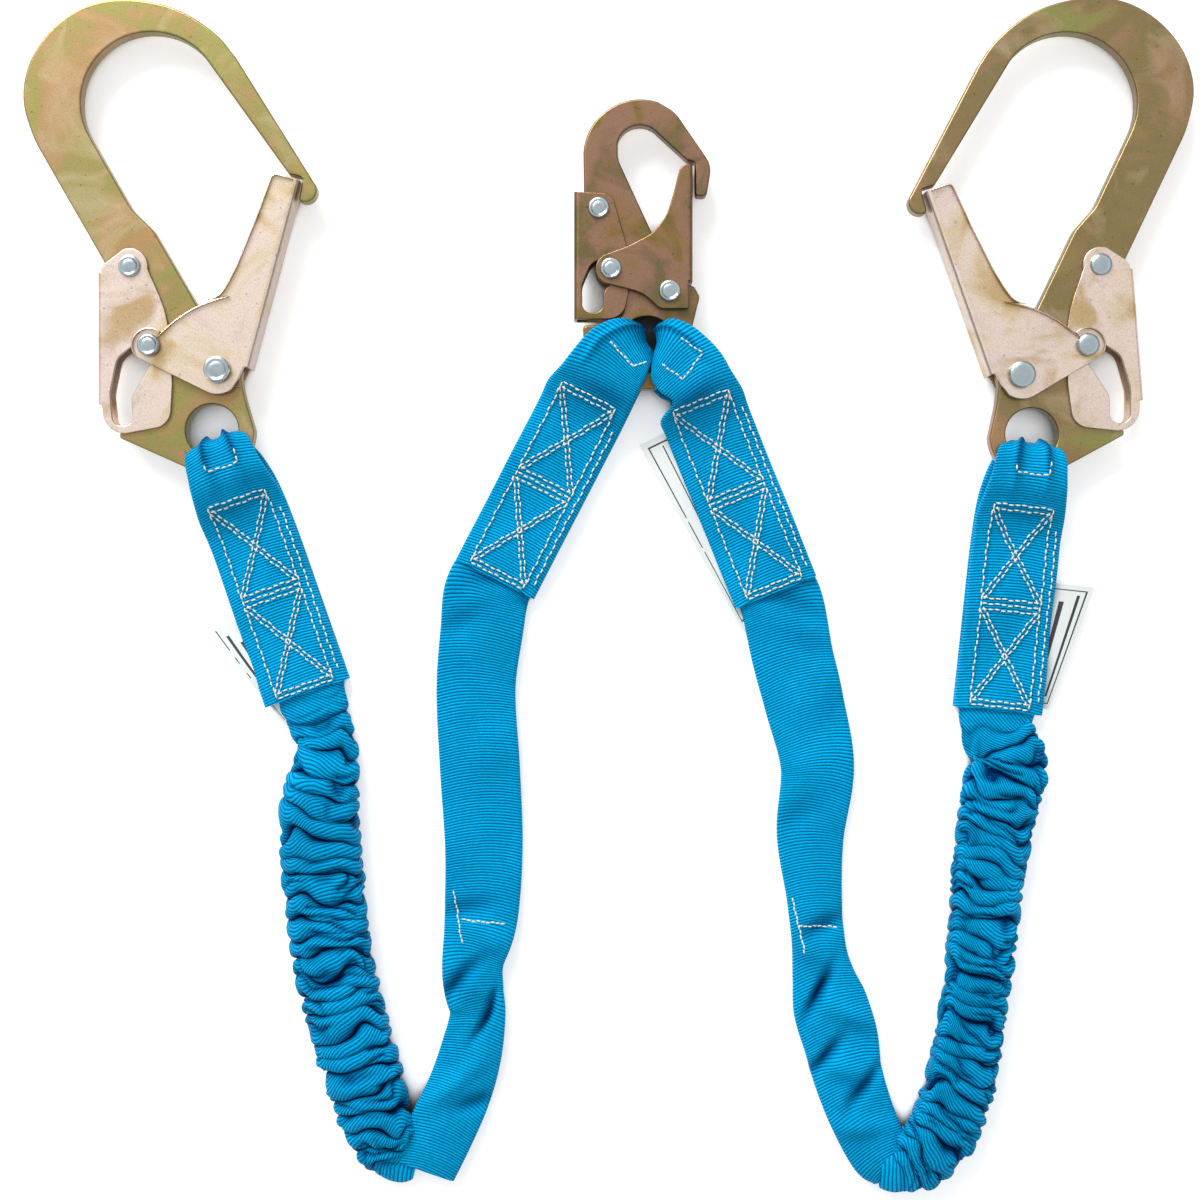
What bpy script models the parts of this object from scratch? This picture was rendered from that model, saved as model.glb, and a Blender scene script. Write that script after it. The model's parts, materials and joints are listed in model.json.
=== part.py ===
"""Twin-leg shock absorbing lanyard, laid flat on the ground.

Three locking hooks of folded and blanked steel carry two legs of tubular webbing. Every outline and
every place below is in millimetres and degrees; the shapes are made in metres, +Z up. Each hook is
drawn in its own frame, with the centre of its webbing eye as origin and its spine along +Y.
"""

import math

import bmesh
import bpy
from mathutils import Matrix, Vector

MM = 0.001
ARC_STEP = math.radians(24)

# --- Stack of plates, measured from the hook's middle plane -------------------------------------
PLATE_HALF = 4.0
LEVER_HALF = 5.8
LEVER_SHEET = 1.5
GATE_HALF = 8.0
GATE_SHEET = 1.8
BEND_RADIUS = 2.5
RUNNING_GAP = 0.3
HEAD_HEIGHT = 2.3
MIDDLE_Z = GATE_HALF + RUNNING_GAP + HEAD_HEIGHT

# --- Webbing ------------------------------------------------------------------------------------
STRAP_THICK = 3.4
PAD_THICK = 2.0
PAD_GAP = 0.6
PAD_LENGTH = 27.0
LAYER_GAP = 1.4
TAB_LENGTH = 140.0
TAB_HALF = 22.0
LABEL_THICK = 0.8
JACKET_WALL = 1.2
CORE_GAP = 0.35
END_GAP = 1.0
END_RUN = 14.0
CORE_HEIGHT = 3.0
CORE_SHARE = 0.9
LABEL_CORNER = 1.5
ROUTE_STEP = 14.0
FLAT_TALL = 6.4
RUFFLED_TALL = 17.0
END_TALL = 7.0
SNAP_TAB_SHIFT = 13.9

# --- Springs: wire, coil and number of turns ----------------------------------------------------
GATE_WIRE = 0.38
GATE_COIL = 6.2
GATE_TURNS = 1.1
GATE_PITCH = 0.95
GATE_REST = 0.25
LOCK_WIRE = 0.5
LOCK_TURNS = 4

# --- Places of the eyes and folds on the ground -------------------------------------------------
SNAP_EYE = (23.5, 127.5)
LEFT_EYE = (-193.2, 84.5)
RIGHT_EYE = (215.0, 82.5)
LEFT_FOLD = (-95.5, -285.0)
RIGHT_FOLD = (151.0, -284.0)
LEFT_HOOK_TURN = 29.6
RIGHT_HOOK_TURN = -25.1
LEFT_SNAP_TAB = -117.4
RIGHT_SNAP_TAB = -68.0
LEFT_HOOK_TAB = -70.6
RIGHT_HOOK_TAB = -96.2

FINISHES = {
    "yellow_zinc": ((0.50, 0.42, 0.24), 0.38, 1.0),
    "brown_zinc": ((0.36, 0.26, 0.18), 0.42, 1.0),
    "bright_zinc": ((0.62, 0.65, 0.66), 0.3, 1.0),
    "spring_steel": ((0.35, 0.35, 0.36), 0.4, 1.0),
    "blue_webbing": ((0.0, 0.28, 0.60), 0.8, 0.0),
    "core_webbing": ((0.75, 0.72, 0.62), 0.85, 0.0),
    "elastic": ((0.10, 0.10, 0.11), 0.8, 0.0),
    "label": ((0.86, 0.88, 0.87), 0.6, 0.0),
}


# --- Outlines -----------------------------------------------------------------------------------


def arc(centre, radius, start, end):
    """Points of a circular arc from one angle to another, as corners that need no rounding."""
    steps = max(1, round(abs(math.radians(end - start)) / ARC_STEP))
    angles = [math.radians(start + (end - start) * i / steps) for i in range(steps + 1)]
    x, y = centre
    return [(x + radius * math.cos(a), y + radius * math.sin(a), 0.0) for a in angles]


def rounded(corners):
    """A closed outline from (x, y, radius) corners."""
    outline = []
    for i, (x, y, radius) in enumerate(corners):
        here = Vector((x, y))
        if radius == 0.0:
            outline.append(here)
            continue
        back = (Vector(corners[i - 1][:2]) - here).normalized()
        ahead = (Vector(corners[(i + 1) % len(corners)][:2]) - here).normalized()
        half = back.angle(ahead) / 2
        centre = here + (back + ahead).normalized() * radius / math.sin(half)
        start = here + back * radius / math.tan(half) - centre
        end = here + ahead * radius / math.tan(half) - centre
        sweep = math.atan2(start.x * end.y - start.y * end.x, start.dot(end))
        steps = max(1, round(abs(sweep) / ARC_STEP))
        for k in range(steps + 1):
            outline.append(centre + Matrix.Rotation(sweep * k / steps, 2) @ start)
    return outline


def circle(centre, radius, sides=16):
    turn = 2 * math.pi / sides
    return [
        Vector((centre[0] + radius * math.cos(turn * i), centre[1] + radius * math.sin(turn * i)))
        for i in range(sides)
    ]


def smooth_route(points, step):
    """Points about one step apart on a Catmull-Rom curve through rows of numbers."""
    rows = [Vector(p) for p in points]
    rows = [2 * rows[0] - rows[1], *rows, 2 * rows[-1] - rows[-2]]
    route = []
    for a, b, c, d in zip(rows, rows[1:], rows[2:], rows[3:]):
        steps = max(1, round((c - b).to_2d().length / step))
        for k in range(steps):
            t = k / steps
            route.append(
                0.5 * (2 * b + (c - a) * t + (2 * a - 5 * b + 4 * c - d) * t * t
                       + (3 * b - a - 3 * c + d) * t * t * t)
            )
    route.append(rows[-2])
    return route


# --- Meshes -------------------------------------------------------------------------------------


def finished(bm, name):
    bmesh.ops.recalc_face_normals(bm, faces=bm.faces)
    mesh = bpy.data.meshes.new(name)
    bm.to_mesh(mesh)
    bm.free()
    mesh.shade_smooth()
    mesh.set_sharp_from_angle(angle=math.radians(35))
    return mesh


def prism(name, outline, holes, low, high):
    """A flat outline with holes, extruded from one height to another."""
    bm = bmesh.new()
    edges = []
    for loop in [outline, *holes]:
        verts = [bm.verts.new((x * MM, y * MM, low * MM)) for x, y in loop]
        edges += [bm.edges.new((verts[i - 1], vert)) for i, vert in enumerate(verts)]
    bmesh.ops.triangle_fill(bm, use_beauty=True, edges=edges)
    lifted = bmesh.ops.extrude_face_region(bm, geom=bm.faces[:])
    top = [part for part in lifted["geom"] if isinstance(part, bmesh.types.BMVert)]
    bmesh.ops.translate(bm, verts=top, vec=(0, 0, (high - low) * MM))
    return finished(bm, name)


def loft(name, rings, looped=False):
    """A skin over rings of points: capped at its two ends, or joined end to start when looped."""
    bm = bmesh.new()
    loops = [[bm.verts.new(Vector(point) * MM) for point in ring] for ring in rings]
    pairs = list(zip(loops, loops[1:]))
    if looped:
        pairs.append((loops[-1], loops[0]))
    for a, b in pairs:
        for i in range(len(a)):
            bm.faces.new((a[i - 1], a[i], b[i], b[i - 1]))
    if not looped:
        bm.faces.new(loops[0])
        bm.faces.new(loops[-1])
    return finished(bm, name)


def fold_bar(name, face, half, radius, reach):
    """A long bar whose right side is at x = face, with its two long right edges rounded."""
    profile = [(-reach, -half, 0), (face, -half, radius), (face, half, radius), (-reach, half, 0)]
    section = rounded(profile)
    rings = [[(p.x, y, p.y) for p in section] for y in (-reach, reach)]
    return loft(name, rings)


def helper(name, mesh, frame, pivot):
    """A hidden cutter that shares its piece's frame."""
    tool = bpy.data.objects.new(name, mesh)
    tool.hide_render = True
    tool.display_type = "WIRE"
    tool.parent = frame
    tool.matrix_local = pivot
    bpy.context.scene.collection.objects.link(tool)
    return tool


def finish(name):
    """The material of one finish, made once."""
    if name in bpy.data.materials:
        return bpy.data.materials[name]
    colour, roughness, metallic = FINISHES[name]
    material = bpy.data.materials.new(name)
    material.use_nodes = True
    shader = material.node_tree.nodes["Principled BSDF"]
    shader.inputs["Base Color"].default_value = (*colour, 1.0)
    shader.inputs["Roughness"].default_value = roughness
    shader.inputs["Metallic"].default_value = metallic
    material.diffuse_color = (*colour, 1.0)
    return material


def add(name, mesh, frame, finish_name, local=None):
    """One piece of the lanyard: a named object with its material, under its body's empty."""
    mesh.materials.append(finish(finish_name))
    piece = bpy.data.objects.new(name, mesh)
    piece.parent = frame
    piece.matrix_local = local or Matrix()
    bpy.context.scene.collection.objects.link(piece)
    return piece


def boolean(piece, tool, operation):
    modifier = piece.modifiers.new(f"{operation.lower()}_{tool.name}", "BOOLEAN")
    modifier.operation = operation
    modifier.object = tool
    modifier.solver = "EXACT"


def empty(name, parent, place=(0, 0), angle=0.0, height=0.0, flipped=False):
    """An empty on a joint's axis, given in its parent's frame."""
    frame = bpy.data.objects.new(name, None)
    frame.empty_display_size = 0.02
    frame.parent = parent
    turn = Matrix.Rotation(math.radians(angle), 4, "Z")
    if flipped:
        turn = turn @ Matrix.Rotation(math.pi, 4, "Y")
    frame.matrix_local = Matrix.Translation((place[0] * MM, place[1] * MM, height * MM)) @ turn
    bpy.context.scene.collection.objects.link(frame)
    return frame


# --- Hook parts ---------------------------------------------------------------------------------


def folded_channel(name, frame, finish_name, outline, holes, web, half, sheet):
    """Two equal ears joined by a web at x = web: an outline cut to a folded sheet of steel."""
    reach = 160.0
    over = 3.0
    piece = add(name, prism(name, outline, holes, -half - over, half + over), frame, finish_name)
    side = 1 if web > 0 else -1
    handed = Matrix.Diagonal((side, 1, 1, 1))
    outside = fold_bar(f"{name}_outside", abs(web), half, BEND_RADIUS, reach)
    inside = fold_bar(f"{name}_inside", abs(web) - sheet, half - sheet, BEND_RADIUS - sheet, reach)
    for mesh in (outside, inside):
        mesh.transform(handed)
        if side < 0:
            mesh.flip_normals()
    boolean(piece, helper(f"{name}_outside_cutter", outside, frame, Matrix()), "INTERSECT")
    boolean(piece, helper(f"{name}_inside_cutter", inside, frame, Matrix()), "DIFFERENCE")
    return piece


def rivet(name, frame, place, half, shank, head):
    """A rivet through both ears: a shank with a domed factory head and a set tail."""
    under = half + RUNNING_GAP
    profile = [
        (head * 0.55, -under - HEAD_HEIGHT),
        (head * 0.92, -under - HEAD_HEIGHT * 0.62),
        (head, -under),
        (shank, -under),
        (shank, under),
        (head, under),
        (head * 0.92, under + HEAD_HEIGHT * 0.62),
        (head * 0.55, under + HEAD_HEIGHT),
    ]
    rings = [[(p.x, p.y, z) for p in circle(place, radius, 12)] for radius, z in profile]
    return add(name, loft(name, rings), frame, "bright_zinc")


def spring(name, frame, points, wire):
    """A wire through points, as a curve with a round section."""
    curve = bpy.data.curves.new(name, "CURVE")
    curve.dimensions = "3D"
    curve.bevel_depth = wire * MM
    curve.bevel_resolution = 1
    curve.use_fill_caps = True
    spline = curve.splines.new("POLY")
    spline.points.add(len(points) - 1)
    for point, place in zip(spline.points, points):
        point.co = (*(value * MM for value in place), 1.0)
    curve.materials.append(finish("spring_steel"))
    piece = bpy.data.objects.new(name, curve)
    piece.parent = frame
    bpy.context.scene.collection.objects.link(piece)
    return piece


def gate_spring(name, frame, web):
    """A torsion spring round the gate's pivot, in the gap over the plate, with a leg on the web."""
    per_turn = 10
    low = PLATE_HALF + GATE_REST + GATE_WIRE
    coil = []
    for i in range(round(GATE_TURNS * per_turn) + 1):
        angle = math.radians(-90) + 2 * math.pi * i / per_turn
        x, y = GATE_COIL * math.cos(angle), GATE_COIL * math.sin(angle)
        coil.append((x, y, low + GATE_PITCH * i / per_turn))
    _, y, z = coil[0]
    tail_rise = 1.0
    tail = (web - GATE_SHEET - RUNNING_GAP - GATE_WIRE, y + tail_rise, z)
    return spring(name, frame, [tail, *coil], GATE_WIRE)


def lock_spring(name, frame, start, end, radius):
    """A compression spring along x between the plate's edge and the lever's web."""
    per_turn = 8
    steps = LOCK_TURNS * per_turn
    coil = []
    for i in range(steps + 1):
        angle = 2 * math.pi * i / per_turn
        x = start[0] + (end[0] - start[0]) * i / steps
        coil.append((x, start[1] + radius * math.cos(angle), radius * math.sin(angle)))
    return spring(name, frame, coil, LOCK_WIRE)


# --- Webbing ------------------------------------------------------------------------------------


def eased(t):
    """A smooth step from 0 to 1."""
    t = min(1.0, max(0.0, t))
    return t * t * (3 - 2 * t)


def between(rows, at):
    """Values read from rows of (place, value, ...) by straight lines between them."""
    if at <= rows[0][0]:
        return rows[0][1:]
    for a, b in zip(rows, rows[1:]):
        if at <= b[0]:
            t = (at - a[0]) / (b[0] - a[0])
            return tuple(x + (y - x) * t for x, y in zip(a[1:], b[1:]))
    return rows[-1][1:]


def hairpin(name, frame, edges, bend, thick, low_end, top_end, drop):
    """Webbing through an eye: a lower run, a bend through the hole, and an upper run.

    edges holds (along, low side, high side) rows for the strap's two edges. bend is (centre along,
    reach back into the hole, height of each run from the middle plane). drop gives where the upper
    run comes down, and to what height.
    """
    centre, reach, rise = bend
    steps, clear = 8, 9
    path = [(low_end, -rise)]
    path += [(x, -rise) for x in (low_end * 0.7, low_end * 0.4, centre + clear) if x < low_end]
    for i in range(steps + 1):
        angle = math.radians(-90 - 180 * i / steps)
        path.append((centre + reach * math.cos(angle), rise * math.sin(angle)))
    start, stop, height = drop
    top = [centre + 5, start, start + (stop - start) * 0.3, start + (stop - start) * 0.6, stop]
    top += [stop + (top_end - stop) * 0.5, top_end]
    for x in sorted({min(x, top_end) for x in top}):
        path.append((x, rise + (height - rise) * eased((x - start) / (stop - start))))
    rings = []
    for i, (x, z) in enumerate(path):
        before = Vector(path[max(0, i - 1)])
        after = Vector(path[min(len(path) - 1, i + 1)])
        ahead = (after - before).normalized()
        normal = Vector((-ahead.y, ahead.x)) * thick / 2
        low, high = between(edges, x)
        corners = ((low, 1), (high, 1), (high, -1), (low, -1))
        rings.append(
            [(x + normal.x * side, b, z + normal.y * side) for b, side in corners]
        )
    return add(name, loft(name, rings), frame, "blue_webbing")


def flat_ring(row, direction, shrink, middle):
    """Six points round a flattened tube at (x, y, width, height), lying at its middle height."""
    x, y, width, height = row
    half = width / 2 - shrink
    tall = height / 2 - shrink
    side = Vector((-direction.y, direction.x))
    edge = min(tall, half / 2)
    ring = []
    for across, up in (
        (-half, 0), (-half + edge, -tall), (half - edge, -tall),
        (half, 0), (half - edge, tall), (-half + edge, tall),
    ):
        place = Vector((x, y)) + side * across
        ring.append((place.x, place.y, middle + up))
    return ring


def directions(route):
    """The route's direction on the ground at each of its points."""
    ends = [(route[max(0, i - 1)], route[min(len(route) - 1, i + 1)]) for i in range(len(route))]
    return [(b.to_2d() - a.to_2d()).normalized() for a, b in ends]


def in_frame(mesh, frame_place):
    """Ground coordinates turned into those of an empty that stands at frame_place."""
    mesh.transform(Matrix.Translation((-frame_place[0] * MM, -frame_place[1] * MM, 0)))
    return mesh


def jacket(name, frame, frame_place, route):
    """A tube of webbing with open ends, along a route on the ground."""
    turns = directions(route)
    rows = list(zip(route, turns))
    outer = [flat_ring(row, turn, 0.0, row[3] / 2) for row, turn in rows]
    inner = [flat_ring(row, turn, JACKET_WALL, row[3] / 2) for row, turn in reversed(rows)]
    mesh = in_frame(loft(name, outer + inner, looped=True), frame_place)
    return add(name, mesh, frame, "blue_webbing")


def core(name, frame, frame_place, route, finish_name):
    """Webbing inside a jacket, at the middle of its height."""
    rings = []
    for (x, y, width, tall), turn in zip(route[1:-1], directions(route)[1:-1]):
        height = min(CORE_HEIGHT, tall - 2 * (JACKET_WALL + CORE_GAP))
        inside = (width - 2 * JACKET_WALL - tall) * CORE_SHARE
        rings.append(flat_ring((x, y, inside, height), turn, 0.0, tall / 2))
    return add(name, in_frame(loft(name, rings), frame_place), frame, finish_name)


def label(name, frame, corners, height):
    """A thin pack of printed sheets, given by its corners in the tab's frame."""
    outline = rounded([(x, y, LABEL_CORNER) for x, y in corners])
    mesh = prism(name, outline, [], height, height + LABEL_THICK)
    return add(name, mesh, frame, "label")


# --- The two kinds of hook ----------------------------------------------------------------------

REBAR = {
    "finish": "yellow_zinc",
    "eye": 13.1,
    "gate_pivot": (17.6, 24.1),
    "gate_turn": -44.5,
    "lever_pivot": (5.0, 90.6),
    "lever_turn": -29.6,
    "pin": (-35.8, 3.1),
    "gate_web": 15.1,
    "lever_web": -16.1,
    "shanks": (4.0, 3.2, 3.0),
    "heads": (6.6, 5.5, 5.5),
    "lock_spring": ((-13.7, -20.5), (-2.4, -20.5), 2.5),
}
SNAP = {
    "finish": "brown_zinc",
    "eye": 13.75,
    "gate_pivot": (11.0, 25.6),
    "gate_turn": 0.0,
    "lever_pivot": (-24.1, 67.2),
    "lever_turn": 0.0,
    "pin": (-29.1, 11.1),
    "gate_web": 11.5,
    "lever_web": -12.3,
    "shanks": (3.2, 3.0, 2.75),
    "heads": (5.4, 5.3, 5.3),
    "lock_spring": ((-9.8, -13.7), (0.9, -13.7), 2.3),
}


def rebar_plate():
    """The large hook: a round boss with a pointed tail, a straight spine and a wide crown."""
    land = 6.0
    crown, crown_radius = (54.3, 157.0), 35.0
    flat = math.degrees(math.asin(land / crown_radius))
    boss = arc((-1.0, 0.0), 22.0, 203, 332)
    hip = [(22.3, 6.5, 20.0), (25.4, 15.5, 8.0), *arc((17.6, 24.1), 11.5, -30, 20)]
    spine = [(25.2, 40.0, 20.0), (24.2, 58.0, 0), (23.8, 101.0, 14.0), (19.5, 115.5, 14.0)]
    throat = arc(crown, crown_radius, 180, 90 + flat) + arc(crown, crown_radius, 90 - flat, 12)
    nose = [(95.9, 95.7, 6.0), (96.4, 91.9, 1.0), (101.6, 87.2, 1.2), (94.2, 78.4, 1.0)]
    tip = arc((99.2, 81.2), 6.0, 228, 372)
    back = [Vector(p) for p in ((102.0, 156.0), (98.8, 171.7), (88.0, 191.5), (70.1, 207.0))]
    back += [Vector(p) for p in ((51.0, 214.6), (31.0, 213.6), (12.5, 205.0), (0.0, 190.5))]
    back += [Vector((-5.1, 172.0)), Vector((-5.6, 155.0))]
    outside = [(p.x, p.y, 0.0) for p in smooth_route(back, 12.0)]
    tail = [(-5.1, 62.7, 8.0), (3.1, 51.7, 10.0), (-13.5, 22.6, 8.0), (-19.0, 14.8, 3.0)]
    point = [(-40.3, 21.8, 1.5), (-41.8, 19.3, 1.5)]
    return rounded(boss + hip + spine + throat + nose + tip + outside + tail + point)


def rebar_gate():
    """One ear of the large gate, upright, with its pivot as origin and its web on the right."""
    top = 101.5
    web = REBAR["gate_web"]
    lobe = arc((0, 0), 12.2, 262, 322)
    heel = [(11.2, -2.0, 3.0), (12.6, 5.0, 0), (web, 5.0, 0)]
    head = [(web, top, 1.0), (1.3, top, 3.0), (-0.8, 78.2, 0), (-4.6, 48.7, 60.0)]
    brow = [(-8.6, 34.6, 12.0), (-24.0, 27.6, 60.0)]
    tip = arc(REBAR["pin"], 8.8, 62, 236)
    return rounded(lobe + heel + head + brow + tip)


def rebar_lever():
    """One ear of the large lock lever, with its pivot as origin and its web on the left."""
    web = REBAR["lever_web"]
    crown = arc((0, 0), 9.0, -8, 112)
    shoulder = [(-12.2, 1.6, 1.2), (-14.0, -1.0, 1.0), (-14.2, -3.2, 0), (web, -3.2, 0)]
    foot = [(web, -68.5, 0), (-13.9, -68.5, 0), (-12.6, -85.0, 11.0), (20.0, -79.0, 9.0)]
    side = [(21.4, -55.0, 60.0), (18.7, -23.7, 60.0)]
    return rounded(crown + shoulder + foot + side)


def rebar_slot():
    """The lever's slot: hooked on its left to lock the pin, open on its right along its track."""
    return rounded([
        (15.3, -39.2, 4.0), (9.5, -33.5, 4.0), (-6.3, -45.5, 9.0), (-9.9, -63.0, 14.0),
        (-8.3, -79.2, 4.5), (1.9, -79.2, 4.5), (0.7, -65.5, 10.0),
    ])


def snap_plate():
    """The small hook: a round boss, a short wide spine and a tight crown with a hooked nose."""
    boss = arc((0, 0), 22.5, 204, 338)
    hip = [(22.5, 8.5, 10.0), (26.2, 23.5, 3.0), (23.5, 28.6, 2.0)]
    collar = arc((11.0, 25.6), 9.2, 28, 76)
    throat = [(3.4, 53.0, 2.0), (-14.6, 92.0, 14.0)]
    crown = arc((-3.6, 97.5), 11.4, 166, 112)
    land = arc((-3.6, 97.5), 11.4, 68, 40)
    nose = [(19.6, 91.6, 2.0), (23.7, 90.6, 1.5), (23.9, 73.6, 1.5), (29.5, 73.4, 2.5)]
    back = [(32.2, 89.0, 12.0), (14.0, 115.5, 16.0)]
    outside = arc((-3.4, 93.5), 28.5, 72, 176)
    spine = [(-31.5, 76.0, 0), (-31.5, 63.5, 3.0), (-22.0, 58.5, 3.0), (-22.0, 47.5, 3.0)]
    tail = [(-12.0, 43.0, 5.0), (-12.0, 15.0, 4.0), (-19.0, 9.3, 3.0), (-32.0, 9.3, 2.0)]
    point = [(-31.8, 3.6, 2.0)]
    return rounded(
        boss + hip + collar + throat + crown + land + nose + back + outside + spine + tail + point
    )


def snap_gate():
    """One ear of the small gate, with its pivot as origin and its web on the right."""
    web = SNAP["gate_web"]
    top = 63.2
    heel = [(-5.0, -8.7, 6.0), (9.4, -8.7, 1.0), (9.4, 5.2, 0), (web, 5.2, 0)]
    head = [(web, top, 0.8), (5.6, top, 5.0), (2.0, 49.0, 30.0), (-1.6, 37.0, 20.0)]
    brow = [(-9.0, 28.4, 14.0), (-20.0, 22.6, 30.0)]
    tip = arc(SNAP["pin"], 7.6, 112, 256)
    return rounded(heel + head + brow + tip + [(-13.0, -0.8, 20.0)])


def snap_lever():
    """One ear of the small lock lever, with its pivot as origin and its web on the left."""
    web = SNAP["lever_web"]
    return rounded([
        (web, 8.3, 0), (6.6, 7.4, 6.0), (14.3, -20.0, 20.0), (14.8, -42.0, 10.0),
        (12.0, -55.2, 9.0), (web, -55.2, 0),
    ])


def snap_slot():
    return rounded([
        (11.6, -30.2, 4.0), (8.5, -24.8, 4.0), (-3.5, -26.6, 7.0), (-8.4, -38.0, 10.0),
        (-8.2, -52.0, 4.5), (2.0, -52.0, 4.5), (2.2, -42.0, 5.0),
    ])


def hook(prefix, kind, outlines, parent, place, angle, flipped=False):
    """A locking hook under its own empty: plate, gate, lever, three rivets and two springs."""
    body = empty(f"{prefix}_frame", parent, place, angle, MIDDLE_Z, flipped)
    steel = kind["finish"]
    gate_shank, lever_shank, pin_shank = kind["shanks"]
    gate_head, lever_head, pin_head = kind["heads"]
    plate_outline, gate_outline, lever_outline, slot = outlines
    holes = [
        circle((0, 0), kind["eye"], 24),
        circle(kind["gate_pivot"], gate_shank + RUNNING_GAP, 12),
        circle(kind["lever_pivot"], lever_shank + RUNNING_GAP, 12),
    ]
    plate = prism(f"{prefix}_body", plate_outline, holes, -PLATE_HALF, PLATE_HALF)
    add(f"{prefix}_body", plate, body, steel)

    gate = empty(f"{prefix}_gate_axis", body, kind["gate_pivot"], kind["gate_turn"])
    ear_holes = [
        circle((0, 0), gate_shank + RUNNING_GAP, 12),
        circle(kind["pin"], pin_shank + RUNNING_GAP, 12),
    ]
    folded_channel(
        f"{prefix}_gate", gate, steel, gate_outline, ear_holes, kind["gate_web"],
        GATE_HALF, GATE_SHEET,
    )
    rivet(f"{prefix}_gate_pivot", gate, (0, 0), GATE_HALF, gate_shank, gate_head)
    rivet(f"{prefix}_gate_pin", gate, kind["pin"], GATE_HALF, pin_shank, pin_head)
    gate_spring(f"{prefix}_gate_spring", gate, kind["gate_web"])

    lever = empty(f"{prefix}_lever_axis", body, kind["lever_pivot"], kind["lever_turn"])
    lever_holes = [circle((0, 0), lever_shank + RUNNING_GAP, 12), slot]
    folded_channel(
        f"{prefix}_lock_lever", lever, steel, lever_outline, lever_holes, kind["lever_web"],
        LEVER_HALF, LEVER_SHEET,
    )
    rivet(f"{prefix}_lever_pivot", lever, (0, 0), LEVER_HALF, lever_shank, lever_head)
    start, end, radius = kind["lock_spring"]
    lock_spring(f"{prefix}_lock_spring", lever, start, end, radius)
    return body


# --- The legs -----------------------------------------------------------------------------------

RUN_RISE = MIDDLE_Z - STRAP_THICK / 2
TOP_RUN = STRAP_THICK + LAYER_GAP + STRAP_THICK / 2 - MIDDLE_Z
PAD_RISE = RUN_RISE - STRAP_THICK / 2 - PAD_GAP - PAD_THICK / 2

# Rows of (distance from the eye, one edge, other edge) across the strap.
HOOK_TAB_EDGES = [
    (4.8, -9.6, 9.6), (8.0, -10.4, 10.4), (14.0, -15.0, 15.0), (22.0, -17.5, 17.5),
    (36.0, -TAB_HALF, TAB_HALF),
]
SNAP_TAB_EDGES = [
    (4.8, -9.8, 0.8), (8.0, -11.0, 2.2), (12.0, -21.0, 4.2), (20.0, -29.0, 7.8),
    (36.0, -35.9, 8.1),
]
HOOK_PAD_EDGES = [(7.9, -6.6, 6.6), (12.0, -8.0, 8.0), (30.0, -10.0, 10.0)]
SNAP_PAD_EDGES = [(7.9, -7.0, 2.2), (12.0, -9.5, 3.8), (30.0, -18.0, 5.0)]


def mirrored(edges):
    """Edge rows for a strap on the other side of its tab's axis."""
    return [(along, -high, -low) for along, low, high in edges]


def tab(prefix, frame, edges, pad_edges):
    """The sewn loop of webbing round a hook's eye, and the wear pad inside it."""
    drop = (20.0, 52.0, TOP_RUN)
    hairpin(
        f"{prefix}_loop", frame, edges, (12.5, 7.7, RUN_RISE), STRAP_THICK,
        TAB_LENGTH, TAB_LENGTH - 1.0, drop,
    )
    pad_drop = (20.0, 52.0, TOP_RUN - RUN_RISE + PAD_RISE)
    hairpin(
        f"{prefix}_wear_pad", frame, pad_edges, (11.5, 3.6, PAD_RISE), PAD_THICK,
        PAD_LENGTH, PAD_LENGTH, pad_drop,
    )


def leg(side, root, snap_tab, hook_tab, fold, flat_route, ruffled_route, edges, pad_edges, eye):
    """One leg from the snap hook's tab to its own hook's tab; gives the two tabs' empties."""
    upper = empty(f"{side}_upper_leg", root, SNAP_EYE, 0.0)
    lay = empty(f"{side}_snap_tab_frame", upper, (0, 0), snap_tab, MIDDLE_Z)
    tab(f"{side}_snap", lay, edges, pad_edges)
    jacket(f"{side}_flat_jacket", upper, SNAP_EYE, flat_route)
    core(f"{side}_absorber_core", upper, SNAP_EYE, flat_route, "core_webbing")

    lower = empty(f"{side}_lower_leg", root, fold, 0.0)
    jacket(f"{side}_elastic_jacket", lower, fold, ruffled_route)
    core(f"{side}_elastic_web", lower, fold, ruffled_route, "elastic")

    end = empty(f"{side}_hook_tab", root, eye, hook_tab, MIDDLE_Z)
    tab(f"{side}_hook", end, HOOK_TAB_EDGES, HOOK_PAD_EDGES)
    return lay, end


def tab_point(eye, angle, along, across=0.0):
    """A ground point given along and across a tab from its eye."""
    turn = Matrix.Rotation(math.radians(angle), 2)
    return Vector(eye) + turn @ Vector((along, across))


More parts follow.
